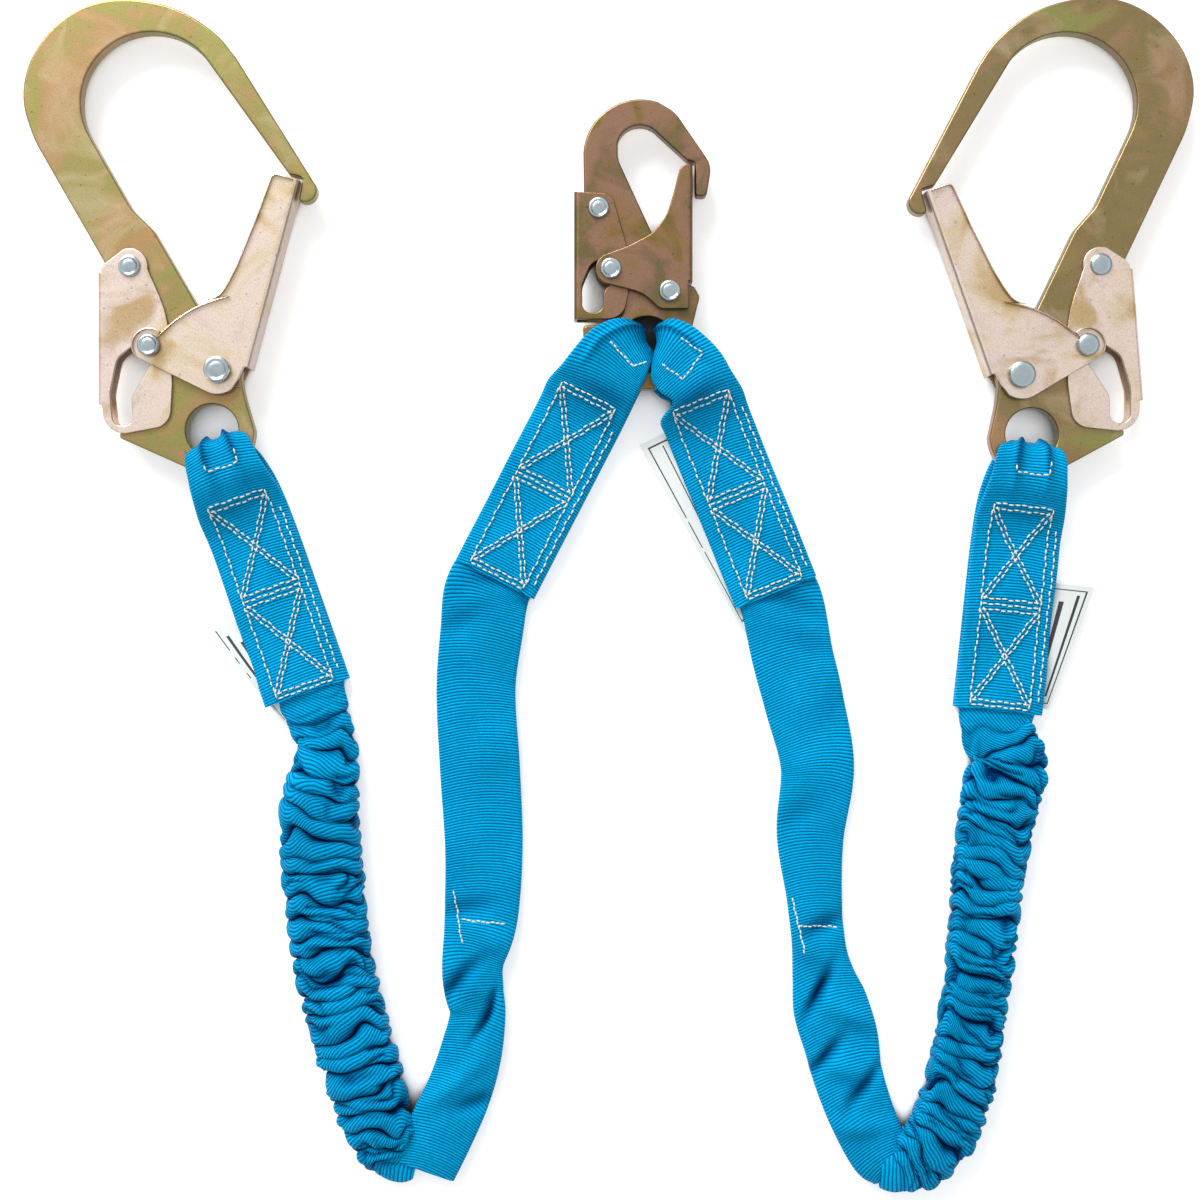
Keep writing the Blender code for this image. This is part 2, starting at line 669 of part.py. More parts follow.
def main():
    for thing in list(bpy.data.objects):
        bpy.data.objects.remove(thing)
    root = empty("lanyard", None)

    rebar = (rebar_plate(), rebar_gate(), rebar_lever(), rebar_slot())
    snap = (snap_plate(), snap_gate(), snap_lever(), snap_slot())
    hook("snap_hook", SNAP, snap, root, SNAP_EYE, 0.0)
    hook("left_hook", REBAR, rebar, root, LEFT_EYE, LEFT_HOOK_TURN)
    hook("right_hook", REBAR, rebar, root, RIGHT_EYE, RIGHT_HOOK_TURN, flipped=True)

    start = TAB_LENGTH + END_GAP
    left_start = tab_point(SNAP_EYE, LEFT_SNAP_TAB, start, -SNAP_TAB_SHIFT)
    left_second = tab_point(SNAP_EYE, LEFT_SNAP_TAB, start + END_RUN, -SNAP_TAB_SHIFT)
    left_flat = smooth_route([
        (*left_start, 42.0, FLAT_TALL), (*left_second, 41.0, FLAT_TALL),
        (-62.0, -30.0, 40.0, FLAT_TALL), (-60.5, -75.0, 40.0, FLAT_TALL),
        (-58.0, -125.0, 39.0, FLAT_TALL), (-59.0, -165.0, 37.0, FLAT_TALL),
        (-65.0, -195.0, 31.0, 7.5), (-63.0, -220.0, 28.0, 7.5), (-70.0, -250.0, 31.0, 7.0),
        (-81.0, -284.0, 32.0, FLAT_TALL),
    ], ROUTE_STEP)
    left_end = tab_point(LEFT_EYE, LEFT_HOOK_TAB, start)
    left_last = tab_point(LEFT_EYE, LEFT_HOOK_TAB, start + END_RUN)
    left_ruffled = smooth_route([
        (-109.5, -282.0, 24.0, 9.0), (-111.5, -262.0, 30.0, 15.0),
        (-117.0, -240.0, 36.0, RUFFLED_TALL), (-127.0, -208.0, 37.0, RUFFLED_TALL),
        (-134.5, -172.0, 37.0, RUFFLED_TALL), (-139.0, -132.0, 37.0, RUFFLED_TALL),
        (-139.5, -96.0, 35.0, 15.0), (*left_last, 33.0, 10.0), (*left_end, 38.0, END_TALL),
    ], ROUTE_STEP)
    _, left_hook_end = leg(
        "left", root, LEFT_SNAP_TAB, LEFT_HOOK_TAB, LEFT_FOLD, left_flat, left_ruffled,
        SNAP_TAB_EDGES, SNAP_PAD_EDGES, LEFT_EYE,
    )

    right_start = tab_point(SNAP_EYE, RIGHT_SNAP_TAB, start, SNAP_TAB_SHIFT)
    right_second = tab_point(SNAP_EYE, RIGHT_SNAP_TAB, start + END_RUN, SNAP_TAB_SHIFT)
    right_flat = smooth_route([
        (*right_start, 42.0, FLAT_TALL), (*right_second, 41.0, FLAT_TALL),
        (101.0, -38.0, 40.0, FLAT_TALL), (108.0, -82.0, 38.0, FLAT_TALL),
        (107.5, -125.0, 36.0, FLAT_TALL), (109.0, -168.0, 34.0, 7.0), (113.5, -200.0, 34.0, 9.0),
        (122.0, -235.0, 33.0, 9.0), (132.0, -264.0, 31.0, 8.0), (139.5, -280.0, 25.0, 7.5),
    ], ROUTE_STEP)
    right_end = tab_point(RIGHT_EYE, RIGHT_HOOK_TAB, start)
    right_last = tab_point(RIGHT_EYE, RIGHT_HOOK_TAB, start + END_RUN)
    right_ruffled = smooth_route([
        (162.0, -282.5, 24.0, 9.0), (171.0, -267.0, 30.0, 14.0),
        (181.0, -243.0, 33.0, RUFFLED_TALL), (186.5, -205.0, 33.0, RUFFLED_TALL),
        (190.5, -165.0, 33.0, RUFFLED_TALL), (197.5, -125.0, 34.0, RUFFLED_TALL),
        (204.5, -95.0, 34.0, 15.0), (*right_last, 34.0, 10.0), (*right_end, 38.0, END_TALL),
    ], ROUTE_STEP)
    right_snap_end, right_hook_end = leg(
        "right", root, RIGHT_SNAP_TAB, RIGHT_HOOK_TAB, RIGHT_FOLD, right_flat, right_ruffled,
        mirrored(SNAP_TAB_EDGES), mirrored(SNAP_PAD_EDGES), RIGHT_EYE,
    )
    between_runs = STRAP_THICK + (LAYER_GAP - LABEL_THICK) / 2 - MIDDLE_Z
    corners = [(44, -19), (44, 18), (138, 24), (138, -19)]
    label("right_snap_label", right_snap_end, corners, between_runs)
    corners = [(92, -34), (92, 12), (136, 12), (136, -27)]
    label("left_hook_label", left_hook_end, corners, between_runs)
    corners = [(68, -12), (68, 37), (136, 27), (136, -12)]
    label("right_hook_label", right_hook_end, corners, between_runs)

    bpy.context.view_layer.update()
    graph = bpy.context.evaluated_depsgraph_get()
    points = []
    for thing in bpy.context.scene.objects:
        if thing.type in ("MESH", "CURVE") and not thing.hide_render:
            shape = thing.evaluated_get(graph)
            points += [shape.matrix_world @ vertex.co for vertex in shape.to_mesh().vertices]
            shape.to_mesh_clear()
    lowest = [min(point[i] for point in points) for i in range(3)]
    highest = [max(point[i] for point in points) for i in range(3)]
    root.location = (
        -(lowest[0] + highest[0]) / 2,
        -(lowest[1] + highest[1]) / 2,
        -lowest[2],
    )


main()
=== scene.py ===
"""Looks of the twin-leg shock absorbing lanyard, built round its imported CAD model.

Places are in millimetres on the ground, as in the CAD source, and are moved into the frame by the
snap hook's eye. Each hook is drawn in its own frame, its eye as origin and its spine along +Y, and
each sewn tab in a frame whose +X runs from the eye down the strap.
"""
import json
import math

import bmesh
import bpy
import numpy as np
from mathutils import Matrix, Vector, noise
from mathutils.bvhtree import BVHTree


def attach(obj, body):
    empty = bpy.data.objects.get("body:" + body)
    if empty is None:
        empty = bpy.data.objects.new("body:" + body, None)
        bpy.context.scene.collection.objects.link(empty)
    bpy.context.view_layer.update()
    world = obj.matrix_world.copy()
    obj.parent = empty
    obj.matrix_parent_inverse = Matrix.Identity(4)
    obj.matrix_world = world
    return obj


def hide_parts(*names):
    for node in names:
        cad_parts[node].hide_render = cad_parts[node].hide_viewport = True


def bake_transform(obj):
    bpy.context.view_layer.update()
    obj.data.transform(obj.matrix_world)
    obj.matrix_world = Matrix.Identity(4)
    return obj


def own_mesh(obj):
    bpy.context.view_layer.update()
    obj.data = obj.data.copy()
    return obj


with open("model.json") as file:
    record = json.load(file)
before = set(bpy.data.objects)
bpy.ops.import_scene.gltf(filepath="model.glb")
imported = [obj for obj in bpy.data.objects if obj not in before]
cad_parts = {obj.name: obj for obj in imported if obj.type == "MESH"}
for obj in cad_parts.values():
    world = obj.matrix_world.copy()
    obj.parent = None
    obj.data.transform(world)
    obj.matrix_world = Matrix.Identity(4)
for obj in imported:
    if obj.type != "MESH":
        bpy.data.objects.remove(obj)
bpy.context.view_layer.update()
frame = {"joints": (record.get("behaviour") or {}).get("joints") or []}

MM = 0.001
ARC_STEP = math.radians(7)

# --- Stack of plates, from the hook's middle plane, and the webbing ------------------------------
PLATE_HALF = 4.0
LEVER_HALF, LEVER_SHEET = 5.8, 1.5
GATE_HALF, GATE_SHEET = 8.0, 1.8
BEND_RADIUS = 2.5
RUNNING_GAP = 0.3
HEAD_HEIGHT = 2.3
MIDDLE_Z = GATE_HALF + RUNNING_GAP + HEAD_HEIGHT
STRAP_THICK = 3.4
TAB_HALF = 22.0
RUN_RISE = MIDDLE_Z - STRAP_THICK / 2
TOP_RUN = STRAP_THICK + 1.4 + STRAP_THICK / 2 - MIDDLE_Z
RIB_PITCH = 1.45
LOBE_LEAN = 1.5
TWIST, TWIST_SLANT = 66.0, 0.7
GATHERED_RIBS = 0.72
WAVE_HEIGHT = 2.3
PLEAT_WIDE, PLEAT_TALL = 6.4, 6.8
SMOOTH_LIMIT = math.radians(32)
FLOOR_GAP = 0.1
TAB_STEP, HOOK_PAD_STEP, SNAP_PAD_STEP = 1.6, 1.2, 1.4
PAD_THICK = 2.0
PAD_DROP = 2.7

# --- Places on the ground, in millimetres and degrees --------------------------------------------
SNAP_EYE = (23.5, 127.5)
LEFT_EYE = (-193.2, 84.5)
RIGHT_EYE = (215.0, 82.5)
LEFT_HOOK_TURN, RIGHT_HOOK_TURN = 29.6, -25.1
LEFT_SNAP_TAB, RIGHT_SNAP_TAB = -117.4, -68.0
LEFT_HOOK_TAB, RIGHT_HOOK_TAB = -70.6, -96.2
SNAP_TAB_SHIFT = 13.9

JOINTS = {joint["name"]: joint for joint in frame["joints"]}
LAY = Vector(JOINTS["left_leg_swing"]["pos_m"]) - Vector((*SNAP_EYE, MIDDLE_Z)) * MM
TO_FRAME = Matrix.Translation(LAY) @ Matrix.Scale(MM, 4)


def frame_at(place, angle, height=MIDDLE_Z, flipped=False):
    """Millimetres in a local frame on the ground, turned into metres in the object's frame."""
    turn = Matrix.Rotation(math.radians(angle), 4, "Z")
    if flipped:
        turn = turn @ Matrix.Rotation(math.pi, 4, "Y")
    return TO_FRAME @ Matrix.Translation((*place, height)) @ turn


# --- Materials -----------------------------------------------------------------------------------


def srgb(red, green, blue):
    """A linear colour from an 8-bit screen colour."""
    parts = [value / 255 for value in (red, green, blue)]
    return (*(p / 12.92 if p < 0.04 else ((p + 0.055) / 1.055) ** 2.4 for p in parts), 1.0)


class Paint:
    """A material's node tree with short calls for its nodes."""

    def __init__(self, name):
        self.material = bpy.data.materials.new(name)
        self.material.use_nodes = True
        self.tree = self.material.node_tree
        self.shader = self.tree.nodes["Principled BSDF"]

    def node(self, kind, settings=(), **inputs):
        made = self.tree.nodes.new(kind)
        for key, value in dict(settings).items():
            setattr(made, key, value)
        for key, value in inputs.items():
            self.put(made.inputs[key.replace("_", " ")], value)
        return made

    def put(self, socket, value):
        if isinstance(value, bpy.types.NodeSocket):
            self.tree.links.new(value, socket)
        else:
            socket.default_value = value

    def math(self, operation, first, second=0.0, clamp=False):
        made = self.tree.nodes.new("ShaderNodeMath")
        made.operation = operation
        made.use_clamp = clamp
        self.put(made.inputs[0], first)
        self.put(made.inputs[1], second)
        return made.outputs[0]

    def mix(self, factor, first, second, blend="MIX"):
        made = self.tree.nodes.new("ShaderNodeMix")
        made.data_type = "RGBA"
        made.blend_type = blend
        self.put(made.inputs[0], factor)
        self.put(made.inputs[6], first)
        self.put(made.inputs[7], second)
        return made.outputs[2]

    def noise(self, scale, detail=2.0, vector=None, distortion=0.0, roughness=0.5):
        place = vector or self.node("ShaderNodeTexCoord").outputs["Object"]
        made = self.node(
            "ShaderNodeTexNoise", Vector=place, Scale=scale, Detail=detail,
            Distortion=distortion, Roughness=roughness,
        )
        return made.outputs["Fac"]

    def ramp(self, factor, stops, easing="LINEAR"):
        made = self.tree.nodes.new("ShaderNodeValToRGB")
        self.put(made.inputs[0], factor)
        made.color_ramp.interpolation = easing
        elements = made.color_ramp.elements
        while len(elements) < len(stops):
            elements.new(0.5)
        for element, (place, colour) in zip(elements, stops):
            element.position = place
            element.color = colour if hasattr(colour, "__len__") else (colour, colour, colour, 1)
        return made.outputs["Color"]

    def bump(self, height, distance, strength=1.0):
        made = self.node("ShaderNodeBump", Strength=strength, Distance=distance, Height=height)
        self.put(self.shader.inputs["Normal"], made.outputs["Normal"])

    def shade(self, **inputs):
        for key, value in inputs.items():
            self.put(self.shader.inputs[key.replace("_", " ")], value)
        return self.material


def plated_steel(name, clouds, streak, patch_scale, shift, rough):
    """Zinc dichromate: clouds of colour running into each other, fine grain, painted highlight streaks
    and painted edge shade.
    """
    paint = Paint(name)
    where = paint.node("ShaderNodeTexCoord").outputs["Object"]
    moved = paint.node("ShaderNodeMapping", Vector=where, Location=shift).outputs["Vector"]
    cloud = paint.noise(patch_scale, 3.0, moved, 0.8, 0.55)
    stops = [(0.33 + 0.34 * i / (len(clouds) - 1), colour) for i, colour in enumerate(clouds)]
    colour = paint.ramp(cloud, stops, "B_SPLINE")
    # Paler colour in streaks laid at random, painted in as highlight streaks.
    pale_streaks = paint.ramp(paint.noise(patch_scale * 1.7, 4.0, moved, 1.2), [(0.54, 0.0), (0.72, 1.0)])
    colour = paint.mix(paint.math("MULTIPLY", pale_streaks, 0.6), colour, streak)
    # Painted shade: faces turned away from straight up are darkened, the rounded edges most, as a dark
    # outline, and the upright sides less.
    facing = paint.node("ShaderNodeTexCoord").outputs["Normal"]
    facing = paint.math("ABSOLUTE", paint.node("ShaderNodeSeparateXYZ", Vector=facing).outputs["Z"])
    edges = paint.ramp(facing, [(0.0, 0.62), (0.45, 0.42), (0.72, 0.6), (0.9, 1.0)])
    colour = paint.mix(1.0, colour, edges, "MULTIPLY")
    grain = paint.noise(1500.0, 2.0)
    speck = paint.ramp(grain, [(0.3, 0.78), (0.52, 1.0), (0.75, 1.12)])
    colour = paint.mix(0.75, colour, speck, "MULTIPLY")
    pores = paint.ramp(paint.noise(420.0, 1.0), [(0.24, 0.55), (0.31, 1.0)])
    colour = paint.mix(0.6, colour, pores, "MULTIPLY")
    paint.bump(paint.math("ADD", grain, paint.noise(260.0, 3.0)), 0.00004, 0.5)
    roughness = paint.math("ADD", rough, paint.math("MULTIPLY", cloud, 0.14))
    return paint.shade(Base_Color=colour, Metallic=0.92, Roughness=roughness)


def bright_steel(name, colour, rough):
    """Plain bright steel with a little wear."""
    paint = Paint(name)
    wear = paint.noise(300.0, 4.0)
    tone = paint.mix(wear, colour, tuple(min(1.0, c * 1.25) for c in colour[:3]) + (1.0,))
    paint.bump(wear, 0.00003, 0.4)
    roughness = paint.math("ADD", rough, paint.math("MULTIPLY", wear, 0.15))
    return paint.shade(Base_Color=tone, Metallic=1.0, Roughness=roughness)


def webbing(name, rib, gap, shade):
    """Ribbed woven webbing. Its attribute holds metres across, metres along, and how much painted shade
    falls in creases, folds and seams.
    """
    paint = Paint(name)
    weave_and_shade = paint.node("ShaderNodeAttribute", {"attribute_name": "weave_and_shade"}).outputs["Vector"]
    parts = paint.node("ShaderNodeSeparateXYZ", Vector=weave_and_shade).outputs
    sway = paint.math("MULTIPLY", paint.math("SUBTRACT", paint.noise(55.0, 1.0), 0.5), 0.0012)
    along = paint.math("ADD", parts["Y"], sway)
    turn = paint.math("MULTIPLY", along, math.pi / (RIB_PITCH * MM))
    height = paint.math("POWER", paint.math("ABSOLUTE", paint.math("SINE", turn)), 0.8)
    threads = paint.math("SINE", paint.math("MULTIPLY", parts["X"], 2 * math.pi / 0.00055))
    soft = paint.noise(900.0, 2.0)
    # The rib pattern: a woven pattern, with painted shade in the gaps between ribs and painted highlight
    # on the crests.
    tone = paint.ramp(height, [(0.12, gap), (0.8, rib)])
    # Painted shade: the colour goes to the shade colour in creases, fold valleys and seams.
    tone = paint.mix(paint.math("MULTIPLY", parts["Z"], 1.0, clamp=True), tone, shade)
    cloudy = paint.ramp(paint.noise(26.0, 3.0), [(0.35, 0.86), (0.65, 1.06)])
    tone = paint.mix(1.0, tone, cloudy, "MULTIPLY")
    fuzz = paint.ramp(soft, [(0.3, 0.88), (0.7, 1.08)])
    tone = paint.mix(1.0, tone, fuzz, "MULTIPLY")
    relief = paint.math("ADD", height, paint.math("MULTIPLY", threads, 0.08))
    relief = paint.math("ADD", relief, paint.math("MULTIPLY", soft, 0.25))
    paint.bump(relief, 0.0006, 1.0)
    return paint.shade(
        Base_Color=tone, Roughness=0.6, Specular_IOR_Level=0.3, Specular_Tint=srgb(0, 170, 235),
    )


def thread(name, colour):
    """Twisted sewing thread."""
    paint = Paint(name)
    twist = paint.noise(2600.0, 2.0)
    tone = paint.mix(twist, tuple(c * 0.8 for c in colour[:3]) + (1.0,), colour)
    paint.bump(twist, 0.00008, 0.8)
    return paint.shade(Base_Color=tone, Roughness=0.7, Sheen_Weight=0.2)


def printed_cloth(name, colour, rough):
    """Smooth label cloth or its ink."""
    paint = Paint(name)
    cloud = paint.noise(60.0, 3.0)
    tone = paint.mix(cloud, tuple(c * 0.88 for c in colour[:3]) + (1.0,), colour)
    paint.bump(paint.noise(3000.0, 2.0), 0.00003, 0.5)
    return paint.shade(Base_Color=tone, Roughness=rough)


OLIVE, TAN = srgb(156, 158, 92), srgb(188, 148, 106)
GOLD = srgb(214, 182, 128)
YELLOW_ZINC = plated_steel(
    "yellow_zinc", [srgb(200, 172, 132), TAN, OLIVE, srgb(172, 156, 98), TAN],
    srgb(206, 188, 150), 20.0, (0, 0, 0), 0.3,
)
DARK_ZINC = plated_steel(
    "dark_yellow_zinc", [TAN, srgb(172, 138, 106), srgb(142, 134, 86), srgb(166, 132, 98), OLIVE],
    srgb(208, 184, 150), 20.0, (0.5, 0.4, 0), 0.3,
)
PALE_ZINC = plated_steel(
    "pale_zinc", [GOLD, srgb(250, 230, 220), srgb(255, 234, 222), srgb(246, 226, 196), GOLD],
    srgb(224, 196, 146), 24.0, (0.3, 0.1, 0), 0.26,
)
BROWN_ZINC = plated_steel(
    "brown_zinc",
    [srgb(122, 112, 66), srgb(150, 120, 74), srgb(164, 128, 106), srgb(154, 118, 96), srgb(116, 108, 70)],
    srgb(150, 124, 68), 34.0, (0.7, 0.2, 0), 0.3,
)
RIVET = bright_steel("bright_zinc", srgb(176, 190, 196), 0.22)
SPRING = bright_steel("spring_steel", srgb(140, 142, 146), 0.3)
BLUE = webbing("blue_webbing", srgb(0, 176, 233), srgb(0, 94, 162), srgb(0, 50, 108))
PAD_BLUE = webbing("pad_webbing", srgb(0, 150, 206), srgb(0, 92, 155), srgb(0, 60, 122))
CREAM = thread("cream_thread", srgb(240, 240, 224))
PAPER = printed_cloth("label_cloth", srgb(226, 232, 230), 0.5)
INK = printed_cloth("label_ink", srgb(52, 54, 56), 0.6)


# --- Outlines ------------------------------------------------------------------------------------


def arc(centre, radius, start, end):
    """Points of a circular arc from one angle to another, as corners that need no rounding."""
    steps = max(1, round(abs(math.radians(end - start)) / ARC_STEP))
    angles = [math.radians(start + (end - start) * i / steps) for i in range(steps + 1)]
    x, y = centre
    return [(x + radius * math.cos(a), y + radius * math.sin(a), 0.0) for a in angles]


def rounded(corners):
    """A closed outline from (x, y, radius) corners."""
    outline = []
    for i, (x, y, radius) in enumerate(corners):
        here = Vector((x, y))
        if radius == 0.0:
            outline.append(here)
            continue
        back = (Vector(corners[i - 1][:2]) - here).normalized()
        ahead = (Vector(corners[(i + 1) % len(corners)][:2]) - here).normalized()
        half = back.angle(ahead) / 2
        centre = here + (back + ahead).normalized() * radius / math.sin(half)
        start = here + back * radius / math.tan(half) - centre
        end = here + ahead * radius / math.tan(half) - centre
        sweep = math.atan2(start.x * end.y - start.y * end.x, start.dot(end))
        steps = max(1, round(abs(sweep) / ARC_STEP))
        for k in range(steps + 1):
            outline.append(centre + Matrix.Rotation(sweep * k / steps, 2) @ start)
    return outline


def circle(centre, radius, sides=48):
    """Points round a circle."""
    turn = 2 * math.pi / sides
    x, y = centre
    return [
        Vector((x + radius * math.cos(turn * i), y + radius * math.sin(turn * i)))
        for i in range(sides)
    ]


def smooth_route(points, step, places=2):
    """Points about one step apart on a Catmull-Rom curve through rows that start with a place."""
    rows = [np.array(p, float) for p in points]
    rows = [2 * rows[0] - rows[1], *rows, 2 * rows[-1] - rows[-2]]
    route = []
    for a, b, c, d in zip(rows, rows[1:], rows[2:], rows[3:]):
        steps = max(1, round(float(np.linalg.norm((c - b)[:places])) / step))
        for k in range(steps):
            t = k / steps
            route.append(
                0.5 * (2 * b + (c - a) * t + (2 * a - 5 * b + 4 * c - d) * t * t
                       + (3 * b - a - 3 * c + d) * t * t * t)
            )
    route.append(rows[-2])
    return route


def open_loop(loop, least=0.04):
    """A loop without points that fall on the one before."""
    kept = []
    for point in loop:
        if not kept or (point - kept[-1]).length > least:
            kept.append(point)
    if (kept[0] - kept[-1]).length < least:
        kept.pop()
    return kept


def turned(loop, anticlockwise):
    """A loop turned to run the asked way round."""
    area = sum(a.x * b.y - b.x * a.y for a, b in zip(loop, loop[1:] + loop[:1]))
    return loop if (area > 0) == anticlockwise else loop[::-1]


def shifted(loop, distance):
    """A loop moved to its left, each corner along its mitre."""
    moved = []
    for i, here in enumerate(loop):
        back = (here - loop[i - 1]).normalized()
        ahead = (loop[(i + 1) % len(loop)] - here).normalized()
        left = Vector((-back.y, back.x))
        mitre = (left + Vector((-ahead.y, ahead.x))).normalized()
        moved.append(here + mitre * distance / max(0.6, mitre.dot(left)))
    return moved


# --- Meshes --------------------------------------------------------------------------------------


def finished(bm, name, sharp=SMOOTH_LIMIT):
    """A smooth-shaded mesh from a bmesh, with its corners sharper than a limit kept sharp."""
    bmesh.ops.recalc_face_normals(bm, faces=bm.faces)
    mesh = bpy.data.meshes.new(name)
    bm.to_mesh(mesh)
    bm.free()
    mesh.shade_smooth()
    mesh.set_sharp_from_angle(angle=sharp)
    return mesh


def plate(name, outline, holes, half, edge, steps=4):
    """A flat plate with holes, its edges rounded on both faces."""
    loops = [turned(open_loop(outline), True)] + [turned(open_loop(hole), False) for hole in holes]
    quarter = [math.radians(90 * k / steps) for k in range(steps + 1)]
    upper = [(half - edge * (1 - math.sin(a)), edge * (1 - math.cos(a))) for a in quarter]
    levels = [(-z, inset) for z, inset in reversed(upper)] + upper
    bm = bmesh.new()
    ends = ([], [])
    for loop in loops:
        rings = [
            [bm.verts.new((p.x, p.y, z)) for p in shifted(loop, inset)] for z, inset in levels
        ]
        for low, high in zip(rings, rings[1:]):
            for i in range(len(loop)):
                bm.faces.new((low[i - 1], low[i], high[i], high[i - 1]))
        for end, ring in zip(ends, (rings[0], rings[-1])):
            end += [bm.edges.get((ring[i - 1], vert)) for i, vert in enumerate(ring)]
    for end in ends:
        bmesh.ops.triangle_fill(bm, use_beauty=True, edges=end)
    return finished(bm, name)


def loft(name, rings):
    """A skin over rings of points, capped at its two ends."""
    bm = bmesh.new()
    loops = [[bm.verts.new(Vector(point)) for point in ring] for ring in rings]
    for a, b in zip(loops, loops[1:]):
        for i in range(len(a)):
            bm.faces.new((a[i - 1], a[i], b[i], b[i - 1]))
    bm.faces.new(loops[0])
    bm.faces.new(loops[-1])
    return finished(bm, name)


def fold_bar(name, face, half, radius, reach):
    """A long bar whose right side is at x = face, with its two long right edges rounded."""
    profile = [(-reach, -half, 0), (face, -half, radius), (face, half, radius), (-reach, half, 0)]
    section = rounded(profile)
    return loft(name, [[(p.x, y, p.y) for p in section] for y in (-reach, reach)])


def show(name, mesh, material, body, nodes=()):
    """A shown piece that rides on a body and stands for CAD nodes."""
    mesh.materials.append(material)
    piece = bpy.data.objects.new(name, mesh)
    bpy.context.scene.collection.objects.link(piece)
    if body:
        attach(piece, body)
    if nodes:
        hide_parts(*nodes)
    return piece


def cut(mesh, tools):
    """A mesh with other meshes kept or taken away from it, smooth-shaded up to its sharp edges."""
    bar = bpy.data.objects.new("cut_base", mesh)
    bpy.context.scene.collection.objects.link(bar)
    helpers = []
    for tool, operation in tools:
        helper = bpy.data.objects.new("cut_tool", tool)
        bpy.context.scene.collection.objects.link(helper)
        helpers.append(helper)
        modifier = bar.modifiers.new("cut", "BOOLEAN")
        modifier.operation = operation
        modifier.object = helper
    bpy.context.view_layer.update()
    graph = bpy.context.evaluated_depsgraph_get()
    made = bpy.data.meshes.new_from_object(bar.evaluated_get(graph), depsgraph=graph)
    for thing in [bar, *helpers]:
        bpy.data.objects.remove(thing)
    bm = bmesh.new()
    bm.from_mesh(made)
    bmesh.ops.remove_doubles(bm, verts=bm.verts, dist=0.03)
    bmesh.ops.dissolve_degenerate(bm, dist=0.02, edges=bm.edges)
    bm.to_mesh(made)
    bm.free()
    made.shade_smooth()
    made.set_sharp_from_angle(angle=SMOOTH_LIMIT)
    return made


def weigh_normals(piece):
    """Let a piece's large flat faces stay flat up to their rounded edges."""
    modifier = piece.modifiers.new("normals", "WEIGHTED_NORMAL")
    modifier.keep_sharp = True
    modifier.weight = 100


# --- Hook parts ----------------------------------------------------------------------------------


def folded_channel(name, outline, holes, web, half, sheet):
    """Two equal ears joined by a web at x = web, cut from a plate with rounded edges."""
    reach = 160.0
    base = plate(name, outline, holes, half, 0.6)
    outside = fold_bar(f"{name}_outside", abs(web), half, BEND_RADIUS, reach)
    inside = fold_bar(f"{name}_inside", abs(web) - sheet, half - sheet, BEND_RADIUS - sheet, reach)
    if web < 0:
        for mesh in (outside, inside):
            mesh.transform(Matrix.Diagonal((-1, 1, 1, 1)))
            mesh.flip_normals()
    made = cut(base, [(outside, "INTERSECT"), (inside, "DIFFERENCE")])
    made.name = name
    return made


def rivet(name, half, shank, head, coined):
    """A rivet along z: smooth domes, or tails coined into a cone inside a raised ring."""
    under = half + RUNNING_GAP
    if coined:
        dome = [(0.0, 1.0), (0.30, 0.80), (0.55, 0.55), (0.62, 0.52), (0.68, 0.62), (0.80, 0.78)]
        dome += [(0.90, 0.70), (0.98, 0.42), (1.0, 0.12), (0.985, 0.0)]
    else:
        dome = [(math.sin(a), math.cos(a)) for a in (math.radians(8 * k) for k in range(12))]
        dome = [(r * 0.985, 0.16 + 0.78 * z) for r, z in dome] + [(1.0, 0.1), (0.985, 0.0)]
    top = [(radius * head, under + z * HEAD_HEIGHT * 0.94) for radius, z in dome[1:]]
    profile = [*top, (shank, under), (shank, -under), *[(r, -z) for r, z in reversed(top)]]
    return loft(name, [[(p.x, p.y, z) for p in circle((0, 0), radius, 40)] for radius, z in profile])


def wire(name, points, radius, sides=8):
    """A round wire through points."""
    line = [Vector(p) for p in points]
    rings = []
    across = Vector((0.31, 0.22, 0.92))
    for i, here in enumerate(line):
        ahead = (line[min(i + 1, len(line) - 1)] - line[max(i - 1, 0)]).normalized()
        side = (across - ahead * across.dot(ahead)).normalized()
        across = side
        up = ahead.cross(side)
        ring = []
        for k in range(sides):
            turn = 2 * math.pi * k / sides
            ring.append(here + (side * math.cos(turn) + up * math.sin(turn)) * radius)
        rings.append(ring)
    return loft(name, rings)


def gate_coil(web):
    """A torsion spring round the gate's pivot with a leg to the web."""
    radius, turns, per_turn, gauge = 6.2, 1.1, 28, 0.38
    low = PLATE_HALF + 0.25 + gauge
    steps = round(turns * per_turn)
    coil = []
    for i in range(steps + 1):
        angle = math.radians(-90) + 2 * math.pi * i / per_turn
        coil.append((radius * math.cos(angle), radius * math.sin(angle), low + 0.95 * i / per_turn))
    x, y, z = coil[0]
    tail = (web - GATE_SHEET - RUNNING_GAP - gauge, y + 1.0, z)
    return [tail, ((tail[0] + x) / 2, y + 0.3, z), *coil], gauge


def lock_coil(start, end, radius):
    """A compression spring along x, with its wire's radius."""
    turns, per_turn, gauge = 4, 24, 0.5
    steps = turns * per_turn
    coil = []
    for i in range(steps + 1):
        angle = 2 * math.pi * i / per_turn
        x = start[0] + (end[0] - start[0]) * i / steps
        coil.append((x, start[1] + radius * math.cos(angle), radius * math.sin(angle)))
    return coil, gauge


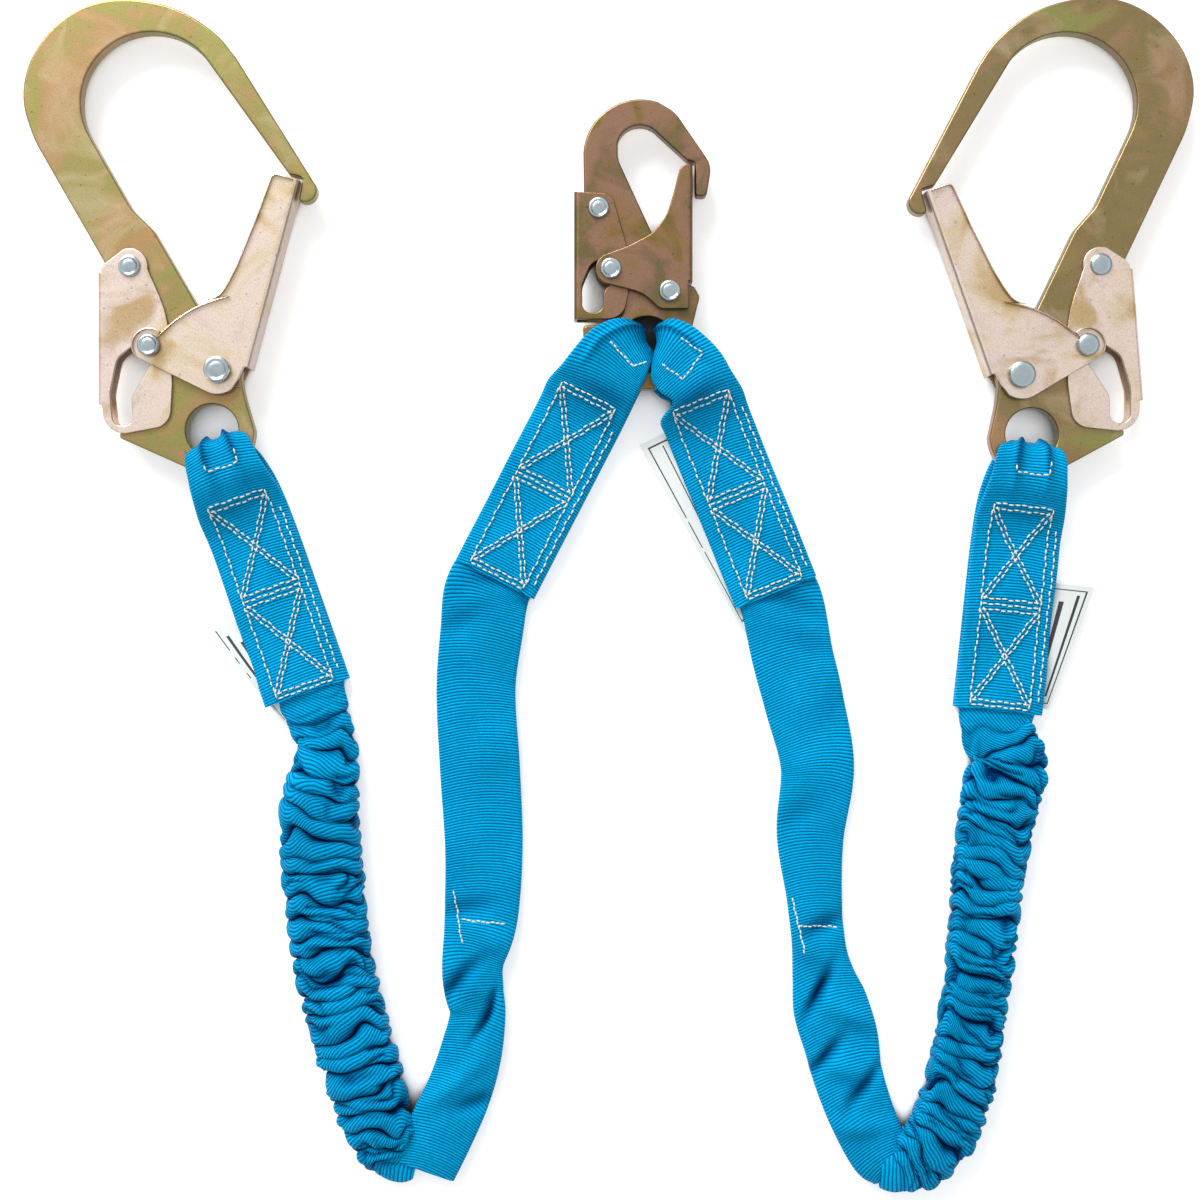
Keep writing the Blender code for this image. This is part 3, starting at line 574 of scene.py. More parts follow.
REBAR = {
    "eye": 13.1, "gate_pivot": (17.6, 24.1), "gate_turn": -44.5,
    "lever_pivot": (5.0, 90.6), "lever_turn": -29.6, "pin": (-35.8, 3.1),
    "gate_web": 15.1, "lever_web": -16.1,
    "shanks": (4.0, 3.2, 3.0), "heads": (6.6, 5.5, 5.5),
    "lock_spring": ((-13.7, -20.5), (-2.4, -20.5), 2.5), "slot": "yellow_zinc",
}
SNAP = {
    "eye": 13.75, "gate_pivot": (11.0, 25.6), "gate_turn": 0.0,
    "lever_pivot": (-24.1, 67.2), "lever_turn": 0.0, "pin": (-29.1, 11.1),
    "gate_web": 11.5, "lever_web": -12.3,
    "shanks": (3.2, 3.0, 2.75), "heads": (5.4, 5.3, 5.3),
    "lock_spring": ((-9.8, -13.7), (0.9, -13.7), 2.3), "slot": "brown_zinc",
}
WEB_OVER = 3.0


def rebar_plate():
    """The large hook: a round boss with a pointed tail, a straight spine and a wide crown."""
    crown, crown_radius = (54.3, 157.0), 35.0
    boss = arc((-1.0, 0.0), 22.0, 203, 332)
    hip = [(22.3, 6.5, 20.0), (25.4, 15.5, 8.0), *arc((17.6, 24.1), 11.5, -30, 20)]
    spine = [(25.2, 40.0, 20.0), (24.2, 58.0, 0), (23.8, 101.0, 14.0), (19.5, 115.5, 14.0)]
    throat = arc(crown, crown_radius, 180, 12)
    nose = [(95.9, 95.7, 6.0), (96.4, 91.9, 1.2), (101.6, 87.2, 1.4), (94.2, 78.4, 1.3)]
    tip = arc((99.2, 81.2), 6.0, 228, 372)
    back = [(102.0, 156.0), (98.8, 171.7), (88.0, 191.5), (70.1, 207.0), (51.0, 214.6)]
    back += [(31.0, 213.6), (12.5, 205.0), (0.0, 190.5), (-5.1, 172.0), (-5.6, 155.0)]
    outside = [(p[0], p[1], 0.0) for p in smooth_route(back, 3.5)]
    tail = [(-5.1, 62.7, 8.0), (3.1, 51.7, 10.0), (-13.5, 22.6, 8.0), (-19.0, 14.8, 3.0)]
    point = [(-40.3, 21.8, 1.7), (-41.8, 19.3, 1.7)]
    return rounded(boss + hip + spine + throat + nose + tip + outside + tail + point)


def rebar_gate():
    """One ear of the large gate, upright, with its pivot as origin and its web on the right."""
    top = 101.5
    web = REBAR["gate_web"] + WEB_OVER
    lobe = arc((0, 0), 12.2, 262, 322)
    heel = [(11.2, -2.0, 3.0), (12.6, 5.0, 1.2), (web, 5.0, 0)]
    head = [(web, top, 0), (1.3, top, 3.0), (-0.8, 78.2, 0), (-4.6, 48.7, 60.0)]
    brow = [(-8.6, 34.6, 12.0), (-24.0, 27.6, 60.0)]
    tip = arc(REBAR["pin"], 8.8, 62, 236)
    return rounded(lobe + heel + head + brow + tip)


def rebar_lever():
    """One ear of the large lock lever, with its pivot as origin and its web on the left."""
    web = REBAR["lever_web"] - WEB_OVER
    crown = arc((0, 0), 9.0, -8, 112)
    shoulder = [(-12.2, 1.6, 1.2), (-14.0, -1.0, 1.0), (-14.2, -3.2, 0), (web, -3.2, 0)]
    foot = [(web, -68.5, 0), (-13.9, -68.5, 0), (-12.6, -85.0, 11.0), (20.0, -79.0, 9.0)]
    side = [(21.4, -55.0, 60.0), (18.7, -23.7, 60.0)]
    return rounded(crown + shoulder + foot + side)


def rebar_slot():
    """The lever's slot: hooked on its left to lock the pin, open on its right along its track."""
    return rounded([
        (15.3, -39.2, 4.0), (9.5, -33.5, 4.0), (-6.3, -45.5, 9.0), (-9.9, -63.0, 14.0),
        (-8.3, -79.2, 4.5), (1.9, -79.2, 4.5), (0.7, -65.5, 10.0),
    ])


def snap_plate():
    """The small hook: a round boss, a short wide spine and a tight crown with a hooked nose."""
    boss = arc((0, 0), 22.5, 204, 338)
    hip = [(22.5, 8.5, 10.0), (26.2, 23.5, 3.0), (23.5, 28.6, 2.0)]
    collar = arc((11.0, 25.6), 9.2, 28, 76)
    throat = [(3.4, 53.0, 2.0), (-14.6, 92.0, 14.0)]
    crown = arc((-3.6, 97.5), 11.4, 166, 40)
    nose = [(19.6, 91.6, 2.0), (23.7, 90.6, 1.6), (23.9, 73.6, 1.6), (29.5, 73.4, 2.5)]
    back = [(32.2, 89.0, 12.0), (14.0, 115.5, 16.0)]
    outside = arc((-3.4, 93.5), 28.5, 72, 176)
    spine = [(-31.5, 76.0, 0), (-31.5, 63.5, 3.0), (-22.0, 58.5, 3.0), (-22.0, 47.5, 3.0)]
    tail = [(-12.0, 43.0, 5.0), (-12.0, 15.0, 4.0), (-19.0, 9.3, 3.0), (-32.0, 9.3, 2.0)]
    point = [(-31.8, 3.6, 2.0)]
    return rounded(boss + hip + collar + throat + crown + nose + back + outside + spine + tail + point)


def snap_gate():
    """One ear of the small gate, with its pivot as origin and its web on the right."""
    web = SNAP["gate_web"] + WEB_OVER
    top = 63.2
    heel = [(-5.0, -8.7, 6.0), (9.4, -8.7, 1.0), (9.4, 5.2, 0), (web, 5.2, 0)]
    head = [(web, top, 0), (5.6, top, 5.0), (2.0, 49.0, 30.0), (-1.6, 37.0, 20.0)]
    brow = [(-9.0, 28.4, 14.0), (-20.0, 22.6, 30.0)]
    tip = arc(SNAP["pin"], 7.6, 112, 256)
    return rounded(heel + head + brow + tip + [(-13.0, -0.8, 20.0)])


def snap_lever():
    """One ear of the small lock lever, with its pivot as origin and its web on the left."""
    web = SNAP["lever_web"] - WEB_OVER
    return rounded([
        (web, 8.3, 0), (6.6, 7.4, 6.0), (14.3, -20.0, 20.0), (14.8, -42.0, 10.0),
        (12.0, -55.2, 9.0), (web, -55.2, 0),
    ])


def snap_slot():
    """The small lever's slot, hooked on its left and open on its right as the large one."""
    return rounded([
        (11.6, -30.2, 4.0), (8.5, -24.8, 4.0), (-3.5, -26.6, 7.0), (-8.4, -38.0, 10.0),
        (-8.2, -52.0, 4.5), (2.0, -52.0, 4.5), (2.2, -42.0, 5.0),
    ])


def hook(prefix, side, kind, outlines, place, body_steel, moving_steel, coined):
    """A locking hook: plate, gate, lever, three rivets and two springs, each on its own body."""
    plate_outline, gate_outline, lever_outline, slot = outlines
    gate_shank, lever_shank, pin_shank = kind["shanks"]
    gate_head, lever_head, pin_head = kind["heads"]
    gap = RUNNING_GAP
    body, gate_body, lever_body = f"{side}_hook", f"{side}_gate", f"{side}_lever"

    def local(spot, turn=0.0):
        return place @ Matrix.Translation((*spot, 0)) @ Matrix.Rotation(math.radians(turn), 4, "Z")

    def add(node, mesh, where, material, rides):
        mesh.transform(where)
        piece = show(f"{prefix}_{node}_steel", mesh, material, rides, [f"{prefix}_{node}"])
        weigh_normals(piece)
        return piece

    holes = [
        circle((0, 0), kind["eye"], 72),
        circle(kind["gate_pivot"], gate_shank + gap),
        circle(kind["lever_pivot"], lever_shank + gap),
    ]
    gate_place = local(kind["gate_pivot"], kind["gate_turn"])
    lever_place = local(kind["lever_pivot"], kind["lever_turn"])
    pin_place = gate_place @ Matrix.Translation((*kind["pin"], 0))
    add("body", plate("body", plate_outline, holes, PLATE_HALF, 1.1), place, body_steel, body)

    ears = [circle((0, 0), gate_shank + gap), circle(kind["pin"], pin_shank + gap)]
    gate = folded_channel("gate", gate_outline, ears, kind["gate_web"], GATE_HALF, GATE_SHEET)
    add("gate", gate, gate_place, moving_steel, gate_body)
    ears = [circle((0, 0), lever_shank + gap), slot]
    lever = folded_channel("lever", lever_outline, ears, kind["lever_web"], LEVER_HALF, LEVER_SHEET)
    add("lock_lever", lever, lever_place, moving_steel, lever_body)

    pivot = rivet("gate_pivot", GATE_HALF, gate_shank, gate_head, coined)
    add("gate_pivot", pivot, gate_place, RIVET, body)
    pin = rivet("gate_pin", GATE_HALF, pin_shank, pin_head, coined)
    add("gate_pin", pin, pin_place, RIVET, gate_body)
    pivot = rivet("lever_pivot", LEVER_HALF, lever_shank, lever_head, coined)
    add("lever_pivot", pivot, lever_place, RIVET, body)
    coil, gauge = gate_coil(kind["gate_web"])
    add("gate_spring", wire("gate_spring", coil, gauge), gate_place, SPRING, body)
    coil, gauge = lock_coil(*kind["lock_spring"])
    coil = wire("lock_spring", coil, gauge)
    spring = add("lock_spring", coil, lever_place, SPRING, body)
    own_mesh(spring)


# --- Webbing -------------------------------------------------------------------------------------


def eased(t):
    """A smooth step from 0 to 1."""
    t = np.clip(t, 0.0, 1.0)
    return t * t * (3 - 2 * t)


def bell(x):
    """A smooth hump of height 1 at 0."""
    return np.exp(-x * x)


def woven(name, grid, weave_and_shade):
    """A closed skin over a grid of points (rings, then points round each), with its weave places and
    painted shade.
    """
    rings, around = grid.shape[:2]
    mesh = bpy.data.meshes.new(name)
    index = np.arange(rings * around).reshape(rings, around)
    ahead = np.roll(index, -1, axis=1)
    quads = np.stack([index[:-1], ahead[:-1], ahead[1:], index[1:]], axis=-1).reshape(-1, 4)
    faces = [tuple(quad) for quad in quads.tolist()]
    faces.append(tuple(index[0][::-1].tolist()))
    faces.append(tuple(index[-1].tolist()))
    mesh.from_pydata(grid.reshape(-1, 3).tolist(), [], faces)
    layer = mesh.attributes.new("weave_and_shade", "FLOAT_VECTOR", "POINT")
    layer.data.foreach_set("vector", weave_and_shade.reshape(-1).astype(np.float32))
    bm = bmesh.new()
    bm.from_mesh(mesh)
    bmesh.ops.recalc_face_normals(bm, faces=bm.faces)
    bm.to_mesh(mesh)
    bm.free()
    mesh.shade_smooth()
    mesh.set_sharp_from_angle(angle=math.radians(70))
    return mesh


def stadium(across, cap=6):
    """Points round a flat strap: (share of the flat half width, cosine, sine of its round side)."""
    flat = np.linspace(-1, 1, across)
    turn = np.linspace(math.pi / 2, -math.pi / 2, cap + 2)[1:-1]
    zero = np.zeros(across)
    one = np.ones(cap)
    top = np.stack([flat, zero, zero + 1], 1)
    right = np.stack([one, np.cos(turn), np.sin(turn)], 1)
    bottom = np.stack([flat[::-1], zero, zero - 1], 1)
    left = np.stack([-one, -np.cos(turn), -np.sin(turn)], 1)
    return np.concatenate([top, right, bottom, left])


def band(name, rows, thick, lift=None, crease_shade=None, bow=0.0, across=40, fat=0.0):
    """A strap through rows of (x, y, z, x, y, z), its two edges, in millimetres on the ground.

    lift(a, s) moves both faces up at a share a of the half width and s millimetres along, and the
    shade function at a and s gives how much painted shade falls there. bow curves the ribs, and fat
    makes the middle thicker than the edges.
    """
    rows = np.array(rows)
    first, second = rows[:, :3], rows[:, 3:6]
    middle = (first + second) / 2
    width = np.linalg.norm(second - first, axis=1)
    side = (second - first) / width[:, None]
    along = np.gradient(middle, axis=0)
    along /= np.linalg.norm(along, axis=1)[:, None]
    up = np.cross(side, along)
    up /= np.linalg.norm(up, axis=1)[:, None]
    gone = np.concatenate([[0], np.cumsum(np.linalg.norm(np.diff(middle, axis=0), axis=1))])
    section = stadium(across)
    half = thick / 2
    x = section[None, :, 0] * (width[:, None] / 2 - half) + section[None, :, 1] * half
    a = x / (width[:, None] / 2)
    s = np.broadcast_to(gone[:, None], a.shape)
    y = section[None, :, 2] * (half + fat * (1 - a * a))
    if lift is not None:
        y = y + lift(a, s)
    grid = middle[:, None] + side[:, None] * x[..., None] + up[:, None] * y[..., None]
    grid[..., 2] = np.maximum(grid[..., 2], FLOOR_GAP)
    # How much painted shade falls on each point.
    dark = crease_shade(a, s) if crease_shade is not None else np.zeros_like(a)
    ribs = s + bow * (1 - a * a)
    weave_and_shade = np.stack([x * MM, ribs * MM, dark], axis=-1)
    return woven(name, grid * MM + np.array(LAY), weave_and_shade)


def resampled(rows, step):
    """Rows of two edge points, smoothed and about one step apart along the strap's middle."""
    rows = [np.array(row, float) for row in rows]
    mids = [np.concatenate([(row[:3] + row[3:6]) / 2, row]) for row in rows]
    return np.array(smooth_route(mids, step, 3))[:, 3:]


def tab_spot(eye, angle, along, across, z):
    """Ground millimetres of a point given along and across a tab, z from the hook's middle."""
    turn = math.radians(angle)
    x = eye[0] + along * math.cos(turn) - across * math.sin(turn)
    y = eye[1] + along * math.sin(turn) + across * math.cos(turn)
    return (x, y, z + MIDDLE_Z)


# Where the thread runs on a tab: straight seams as (along, across) pairs, two rows or one.
SEAM_HALF = 14.5
SEAM_ENDS = (36.0, 86.0, 137.0)


def tab_seams():
    """The two boxed crosses of a tab, its cross bars and the row beside them."""
    top, middle, bottom = SEAM_ENDS
    low, high = -SEAM_HALF, SEAM_HALF
    bars = [top, top + 2.6, middle - 2.8, middle, middle + 2.8, bottom - 2.6, bottom]
    seams = [((s, low), (s, high)) for s in bars]
    for start, end in ((top + 2.0, middle - 2.2), (middle + 2.2, bottom - 2.0)):
        for flip in (1, -1):
            slant = Vector((end - start, flip * (high - low))).normalized()
            for offset in (-1.0, 1.0):
                shift = Vector((-slant.y, slant.x)) * offset
                seams.append((
                    (start + shift.x, flip * low + shift.y), (end + shift.x, flip * high + shift.y),
                ))
    for edge in (low - 0.4, high + 0.4):
        seams.append(((top, edge), (bottom, edge)))
    seams.append(((46.0, high + 4.4), (133.0, high + 4.4)))
    return seams


TAB_SEAMS = tab_seams()


def seam_depth(s, t, seams):
    """How far the thread pulls the webbing down near its seams."""
    depth = np.zeros_like(s)
    for (s0, t0), (s1, t1) in seams:
        length = math.hypot(s1 - s0, t1 - t0)
        ds, dt = (s1 - s0) / length, (t1 - t0) / length
        run = np.clip((s - s0) * ds + (t - t0) * dt, 0, length)
        away = np.hypot(s - s0 - run * ds, t - t0 - run * dt)
        depth = np.maximum(depth, bell(away / 1.0))
    return depth


def stitches(name, seams, place, surface, rides, pitch=3.3, length=2.5, gauge=0.37):
    """Thread laid on a surface along seams: each stitch a small bow that dips in at its ends."""
    tree = BVHTree.FromObject(surface, bpy.context.evaluated_depsgraph_get())
    down = Vector((0, 0, -1))
    points, faces = [], []
    sides, spans = 6, 5
    for number, seam in enumerate(seams):
        start, end = Vector(seam[0]), Vector(seam[1])
        count = max(1, round((end - start).length / pitch))
        ahead = (end - start).normalized()
        for k in range(count):
            wobble = 0.25 * math.sin(number * 7.3 + k * 2.1)
            centre = start + (end - start) * (k + 0.5) / count
            centre += Vector((-ahead.y, ahead.x)) * wobble
            rings = []
            for j in range(spans):
                share = j / (spans - 1) - 0.5
                spot = place((centre + ahead * share * length).to_tuple())
                hit = tree.ray_cast(Vector(spot) + Vector((0, 0, 0.05)), down, 0.2)
                if hit[0] is None:
                    break
                rise = (0.36 - 1.9 * share * share) * MM
                rings.append((hit[0] + hit[1] * rise, hit[1], 1.0 - 1.6 * share * share))
            if len(rings) < spans:
                continue
            way = (rings[-1][0] - rings[0][0]).normalized()
            base = len(points)
            for where, normal, size in rings:
                cross = way.cross(normal).normalized()
                for i in range(sides):
                    turn = 2 * math.pi * i / sides
                    off = cross * math.cos(turn) * 1.15 + normal * math.sin(turn)
                    points.append(where + off * gauge * size * MM)
            for j in range(spans - 1):
                for i in range(sides):
                    a, b = base + j * sides + i, base + j * sides + (i + 1) % sides
                    faces.append((a, b, b + sides, a + sides))
            faces.append(tuple(base + i for i in reversed(range(sides))))
            faces.append(tuple(base + (spans - 1) * sides + i for i in range(sides)))
    mesh = bpy.data.meshes.new(name)
    mesh.from_pydata([tuple(p) for p in points], [], faces)
    mesh.shade_smooth()
    return show(name, mesh, CREAM, rides)


# Rows of a large hook's tab: (along, height from the middle plane, half width).
HOOK_LOOP = [
    (139.0, -RUN_RISE, 22.0), (100.0, -RUN_RISE, 22.0), (60.0, -RUN_RISE, 22.0),
    (36.0, -RUN_RISE, 21.0), (22.0, -RUN_RISE, 18.5), (13.5, -8.5, 15.5),
    (8.3, -6.5, 12.0), (5.8, -3.6, 10.6), (4.9, 0.0, 10.2), (5.6, 3.6, 10.8),
    (7.4, 6.8, 15.6), (12.0, 8.8, 17.4), (20.0, 9.1, 18.4), (26.0, 7.8, 19.4),
    (33.0, 3.8, 20.8), (40.0, -0.4, 22.0), (47.0, -3.1, 22.2), (55.0, TOP_RUN, 22.0),
    (90.0, TOP_RUN, 21.8), (125.0, TOP_RUN, 22.2), (139.0, TOP_RUN - 0.2, 22.4),
]
PAD_LOOP = [
    (27.0, -6.4, 10.0), (18.0, -6.2, 9.4), (12.0, -5.4, 8.4), (9.4, -3.2, 7.2), (8.8, 0.0, 7.0),
    (9.4, 3.2, 7.2), (12.0, 5.4, 8.4), (18.0, 6.2, 9.4), (27.0, 4.8, 10.0),
]


def hook_tab(side, eye, angle):
    """A large hook's tab: the loop through the eye, its wear pad, its seams and its thread."""
    rows = [
        (*tab_spot(eye, angle, s, -half, z), *tab_spot(eye, angle, s, half, z))
        for s, z, half in HOOK_LOOP
    ]
    rows = resampled(rows, TAB_STEP)
    turn = math.radians(angle)
    offset = (rows[:, :3] + rows[:, 3:6]) / 2 - np.array((*eye, 0))
    distance = offset[:, 0] * math.cos(turn) + offset[:, 1] * math.sin(turn)
    upper = (rows[:, 2] > MIDDLE_Z - 1) | (np.arange(len(rows)) > len(rows) * 0.55)
    seed = 3.0 if side == "left" else 8.0

    def lift(a, s):
        d = np.broadcast_to(distance[:, None], a.shape)
        top = np.broadcast_to(upper[:, None], a.shape)
        t = a * TAB_HALF
        gathers = eased((36 - d) / 22)
        valleys = bell((a + 0.40) / 0.13) + bell((a - 0.46) / 0.12)
        humps = 1.3 * bell(a / 0.3) + 0.7 * bell((a - 0.8) / 0.22) + 0.4 * bell((a + 0.8) / 0.22)
        rise = gathers * (humps - 2.3 * valleys)
        rise = rise + 0.5 * np.sin(d * 0.13 + seed) * a + 0.35 * np.sin(d * 0.11 + a * 2.0 + seed)
        return np.where(top, rise - 0.5 * seam_depth(d, t, TAB_SEAMS), 0.0)

    # Painted shade in the fold valleys near the eye, where the loop goes under the hook, and in the
    # seams.
    def crease_shade(a, s):
        d = np.broadcast_to(distance[:, None], a.shape)
        lobes = bell((a + 0.40) / 0.09) + bell((a - 0.46) / 0.08)
        dark = 0.8 * eased((26 - d) / 14) * lobes + 0.5 * eased((8 - d) / 6)
        return dark + 0.3 * seam_depth(d, a * TAB_HALF, TAB_SEAMS)

    body = f"{side}_hook_tab"
    mesh = band(f"{side}_hook_loop_webbing", rows, STRAP_THICK, lift, crease_shade, 2.0, 56)
    loop = show(mesh.name, mesh, BLUE, body, [f"{side}_hook_loop"])
    rows = [
        (*tab_spot(eye, angle, s, -half, z), *tab_spot(eye, angle, s, half, z))
        for s, z, half in PAD_LOOP
    ]
    mesh = band(f"{side}_hook_pad_webbing", resampled(rows, HOOK_PAD_STEP), PAD_THICK)
    pad = show(mesh.name, mesh, PAD_BLUE, body, [f"{side}_hook_wear_pad"])

    def place(spot):
        x, y, z = tab_spot(eye, angle, spot[0], spot[1], 0)
        return LAY + Vector((x, y, z)) * MM

    seams = TAB_SEAMS + [((20.0, -7.2), (20.5, 8.6))]
    seams += [((20.5, 8.6), (13.0, 8.9)), ((20.0, -7.2), (16.0, -7.6))]
    bpy.context.view_layer.update()
    sewn = stitches(f"{side}_hook_thread", seams, place, loop, body)


# Plan of a snap tab near the eye, from the snap hook's eye: (inner x, y, outer x, y, height).
LEFT_TURN_ROWS = [
    (2.6, -7.4, -4.0, 10.6, 0.0), (1.9, -8.8, -6.2, 10.9, 4.0), (1.0, -11.5, -11.0, 12.2, 7.4),
    (0.2, -15.0, -18.5, 11.2, 9.1), (-1.4, -19.0, -28.2, 5.9, 9.1), (-3.2, -22.6, -36.2, -2.8, 8.6),
    (-5.2, -26.8, -42.6, -10.4, 6.2),
]
RIGHT_TURN_ROWS = [
    (4.4, -7.6, 6.6, 10.4, 0.0), (3.4, -9.4, 8.6, 10.8, 4.0), (2.2, -13.0, 13.2, 11.9, 7.4),
    (1.6, -17.0, 21.4, 8.6, 9.1), (3.0, -21.0, 30.0, 1.8, 9.1), (6.8, -25.2, 36.8, -5.6, 8.6),
    (12.2, -29.4, 41.8, -13.6, 6.2),
]
TAB_DROP = [(38.0, 1.6), (46.0, -2.6), (55.0, TOP_RUN), (90.0, TOP_RUN), (125.0, TOP_RUN)]


def snap_tab(side, angle, turn_rows, sign):
    """The tab of a leg at the snap hook, which turns in plan as it comes out of the eye."""
    centre = sign * SNAP_TAB_SHIFT
    inner, outer = centre - sign * TAB_HALF, centre + sign * TAB_HALF

    def straight(s, z):
        return (*tab_spot(SNAP_EYE, angle, s, inner, z), *tab_spot(SNAP_EYE, angle, s, outer, z))

    def ruled(row, z):
        x0, y0, x1, y1, _ = row
        ex, ey = SNAP_EYE
        return (ex + x0, ey + y0, z + MIDDLE_Z, ex + x1, ey + y1, z + MIDDLE_Z)

    lower = [straight(s, -RUN_RISE) for s in (139.0, 100.0, 60.0, 44.0)]
    lower += [ruled(row, max(-RUN_RISE, -row[4])) for row in reversed(turn_rows[1:])]
    upper = [ruled(row, row[4]) for row in turn_rows]
    upper += [straight(s, z) for s, z in TAB_DROP] + [straight(139.0, TOP_RUN - 0.2)]
    if sign > 0:
        rows = lower + upper
    else:
        rows = [(*row[3:6], *row[:3]) for row in lower + upper]
    rows = resampled(rows, TAB_STEP)
    turn = math.radians(angle)
    offset = (rows[:, :3] + rows[:, 3:6]) / 2 - np.array((*SNAP_EYE, 0))
    distance = offset[:, 0] * math.cos(turn) + offset[:, 1] * math.sin(turn)
    upper_part = np.arange(len(rows)) > len(lower) / (len(lower) + len(upper)) * len(rows)
    seed = 5.0 if side == "left" else 11.0

    def lift(a, s):
        d = np.broadcast_to(distance[:, None], a.shape)
        top = np.broadcast_to(upper_part[:, None], a.shape)
        b = a * sign
        pad = 1.2 * eased((26 - d) / 10) * (bell((b + 0.05) / 0.42) - 1.4 * bell((b - 0.62) / 0.1))
        ripple = 0.45 * np.sin(d * 0.12 + seed) * a + 0.3 * np.sin(d * 0.1 + 2 * a + seed)
        pinch = -2.2 * bell((d - 31) / 6.0) * bell((b + 0.3) / 0.7)
        seams = 0.5 * seam_depth(d, a * TAB_HALF, TAB_SEAMS)
        return np.where(top, pad + ripple + pinch - seams, 0.0)

    # Painted shade in the pinch fold, near the eye where the loop goes under the hook, along the pad's
    # edge and in the seams.
    def crease_shade(a, s):
        d = np.broadcast_to(distance[:, None], a.shape)
        b = a * sign
        dark = 0.55 * bell((d - 31) / 5.0) * bell((b + 0.2) / 0.8)
        dark = dark + 0.5 * eased((6 - d) / 8) + 0.5 * eased((20 - d) / 8) * bell((b - 0.62) / 0.07)
        return dark + 0.3 * seam_depth(d, a * TAB_HALF, TAB_SEAMS)

    body = f"{side}_upper_leg"
    mesh = band(f"{side}_snap_loop_webbing", rows, STRAP_THICK, lift, crease_shade, 2.0, 56)
    loop = show(mesh.name, mesh, BLUE, body, [f"{side}_snap_loop"])

    under = list(reversed(turn_rows[1:5]))
    pads = []
    for k, (x0, y0, x1, y1, z) in enumerate(under + turn_rows[:5]):
        level = max(0.0, z - PAD_DROP)
        if k < len(under):
            level = -level
        ex, ey = SNAP_EYE
        back = -sign * 2.8
        start, end = Vector((x0, y0)), Vector((x1, y1))
        low, high = start.lerp(end, 0.22), start.lerp(end, 0.78)
        pads.append((
            ex + low.x - back, ey + low.y, level + MIDDLE_Z,
            ex + high.x - back, ey + high.y, level + MIDDLE_Z,
        ))
    if sign < 0:
        pads = [(*row[3:6], *row[:3]) for row in pads]
    mesh = band(f"{side}_snap_pad_webbing", resampled(pads, SNAP_PAD_STEP), PAD_THICK)
    pad = show(mesh.name, mesh, PAD_BLUE, body, [f"{side}_snap_wear_pad"])

    def place(spot):
        x, y, z = tab_spot(SNAP_EYE, angle, spot[0], centre + spot[1], 0)
        return LAY + Vector((x, y, z)) * MM

    def beside(spot):
        return LAY + Vector((spot[0], spot[1], 0)) * MM

    bpy.context.view_layer.update()
    sewn = stitches(f"{side}_snap_thread", TAB_SEAMS, place, loop, body)
    if side == "left":
        corner = [((4.9, 127.8), (16.7, 115.2)), ((16.7, 115.2), (23.2, 118.0))]
    else:
        corner = [((39.7, 129.7), (50.4, 121.9)), ((50.4, 121.9), (41.2, 108.9))]
        corner.append(((41.2, 108.9), (30.4, 116.4)))
    box = stitches(f"{side}_snap_pad_thread", corner, beside, loop, body, 2.6, 2.1)


def route_frame(rows, step):
    """A smooth ground route with its sides and lengths: rows of (x, y, width, height, ...)."""
    route = np.array(smooth_route(rows, step))
    along = np.gradient(route[:, :2], axis=0)
    along /= np.linalg.norm(along, axis=1)[:, None]
    side = np.stack([along[:, 1], -along[:, 0]], axis=1)
    gone = np.concatenate([[0], np.cumsum(np.hypot(*np.diff(route[:, :2], axis=0).T))])
    return route, side, along, gone


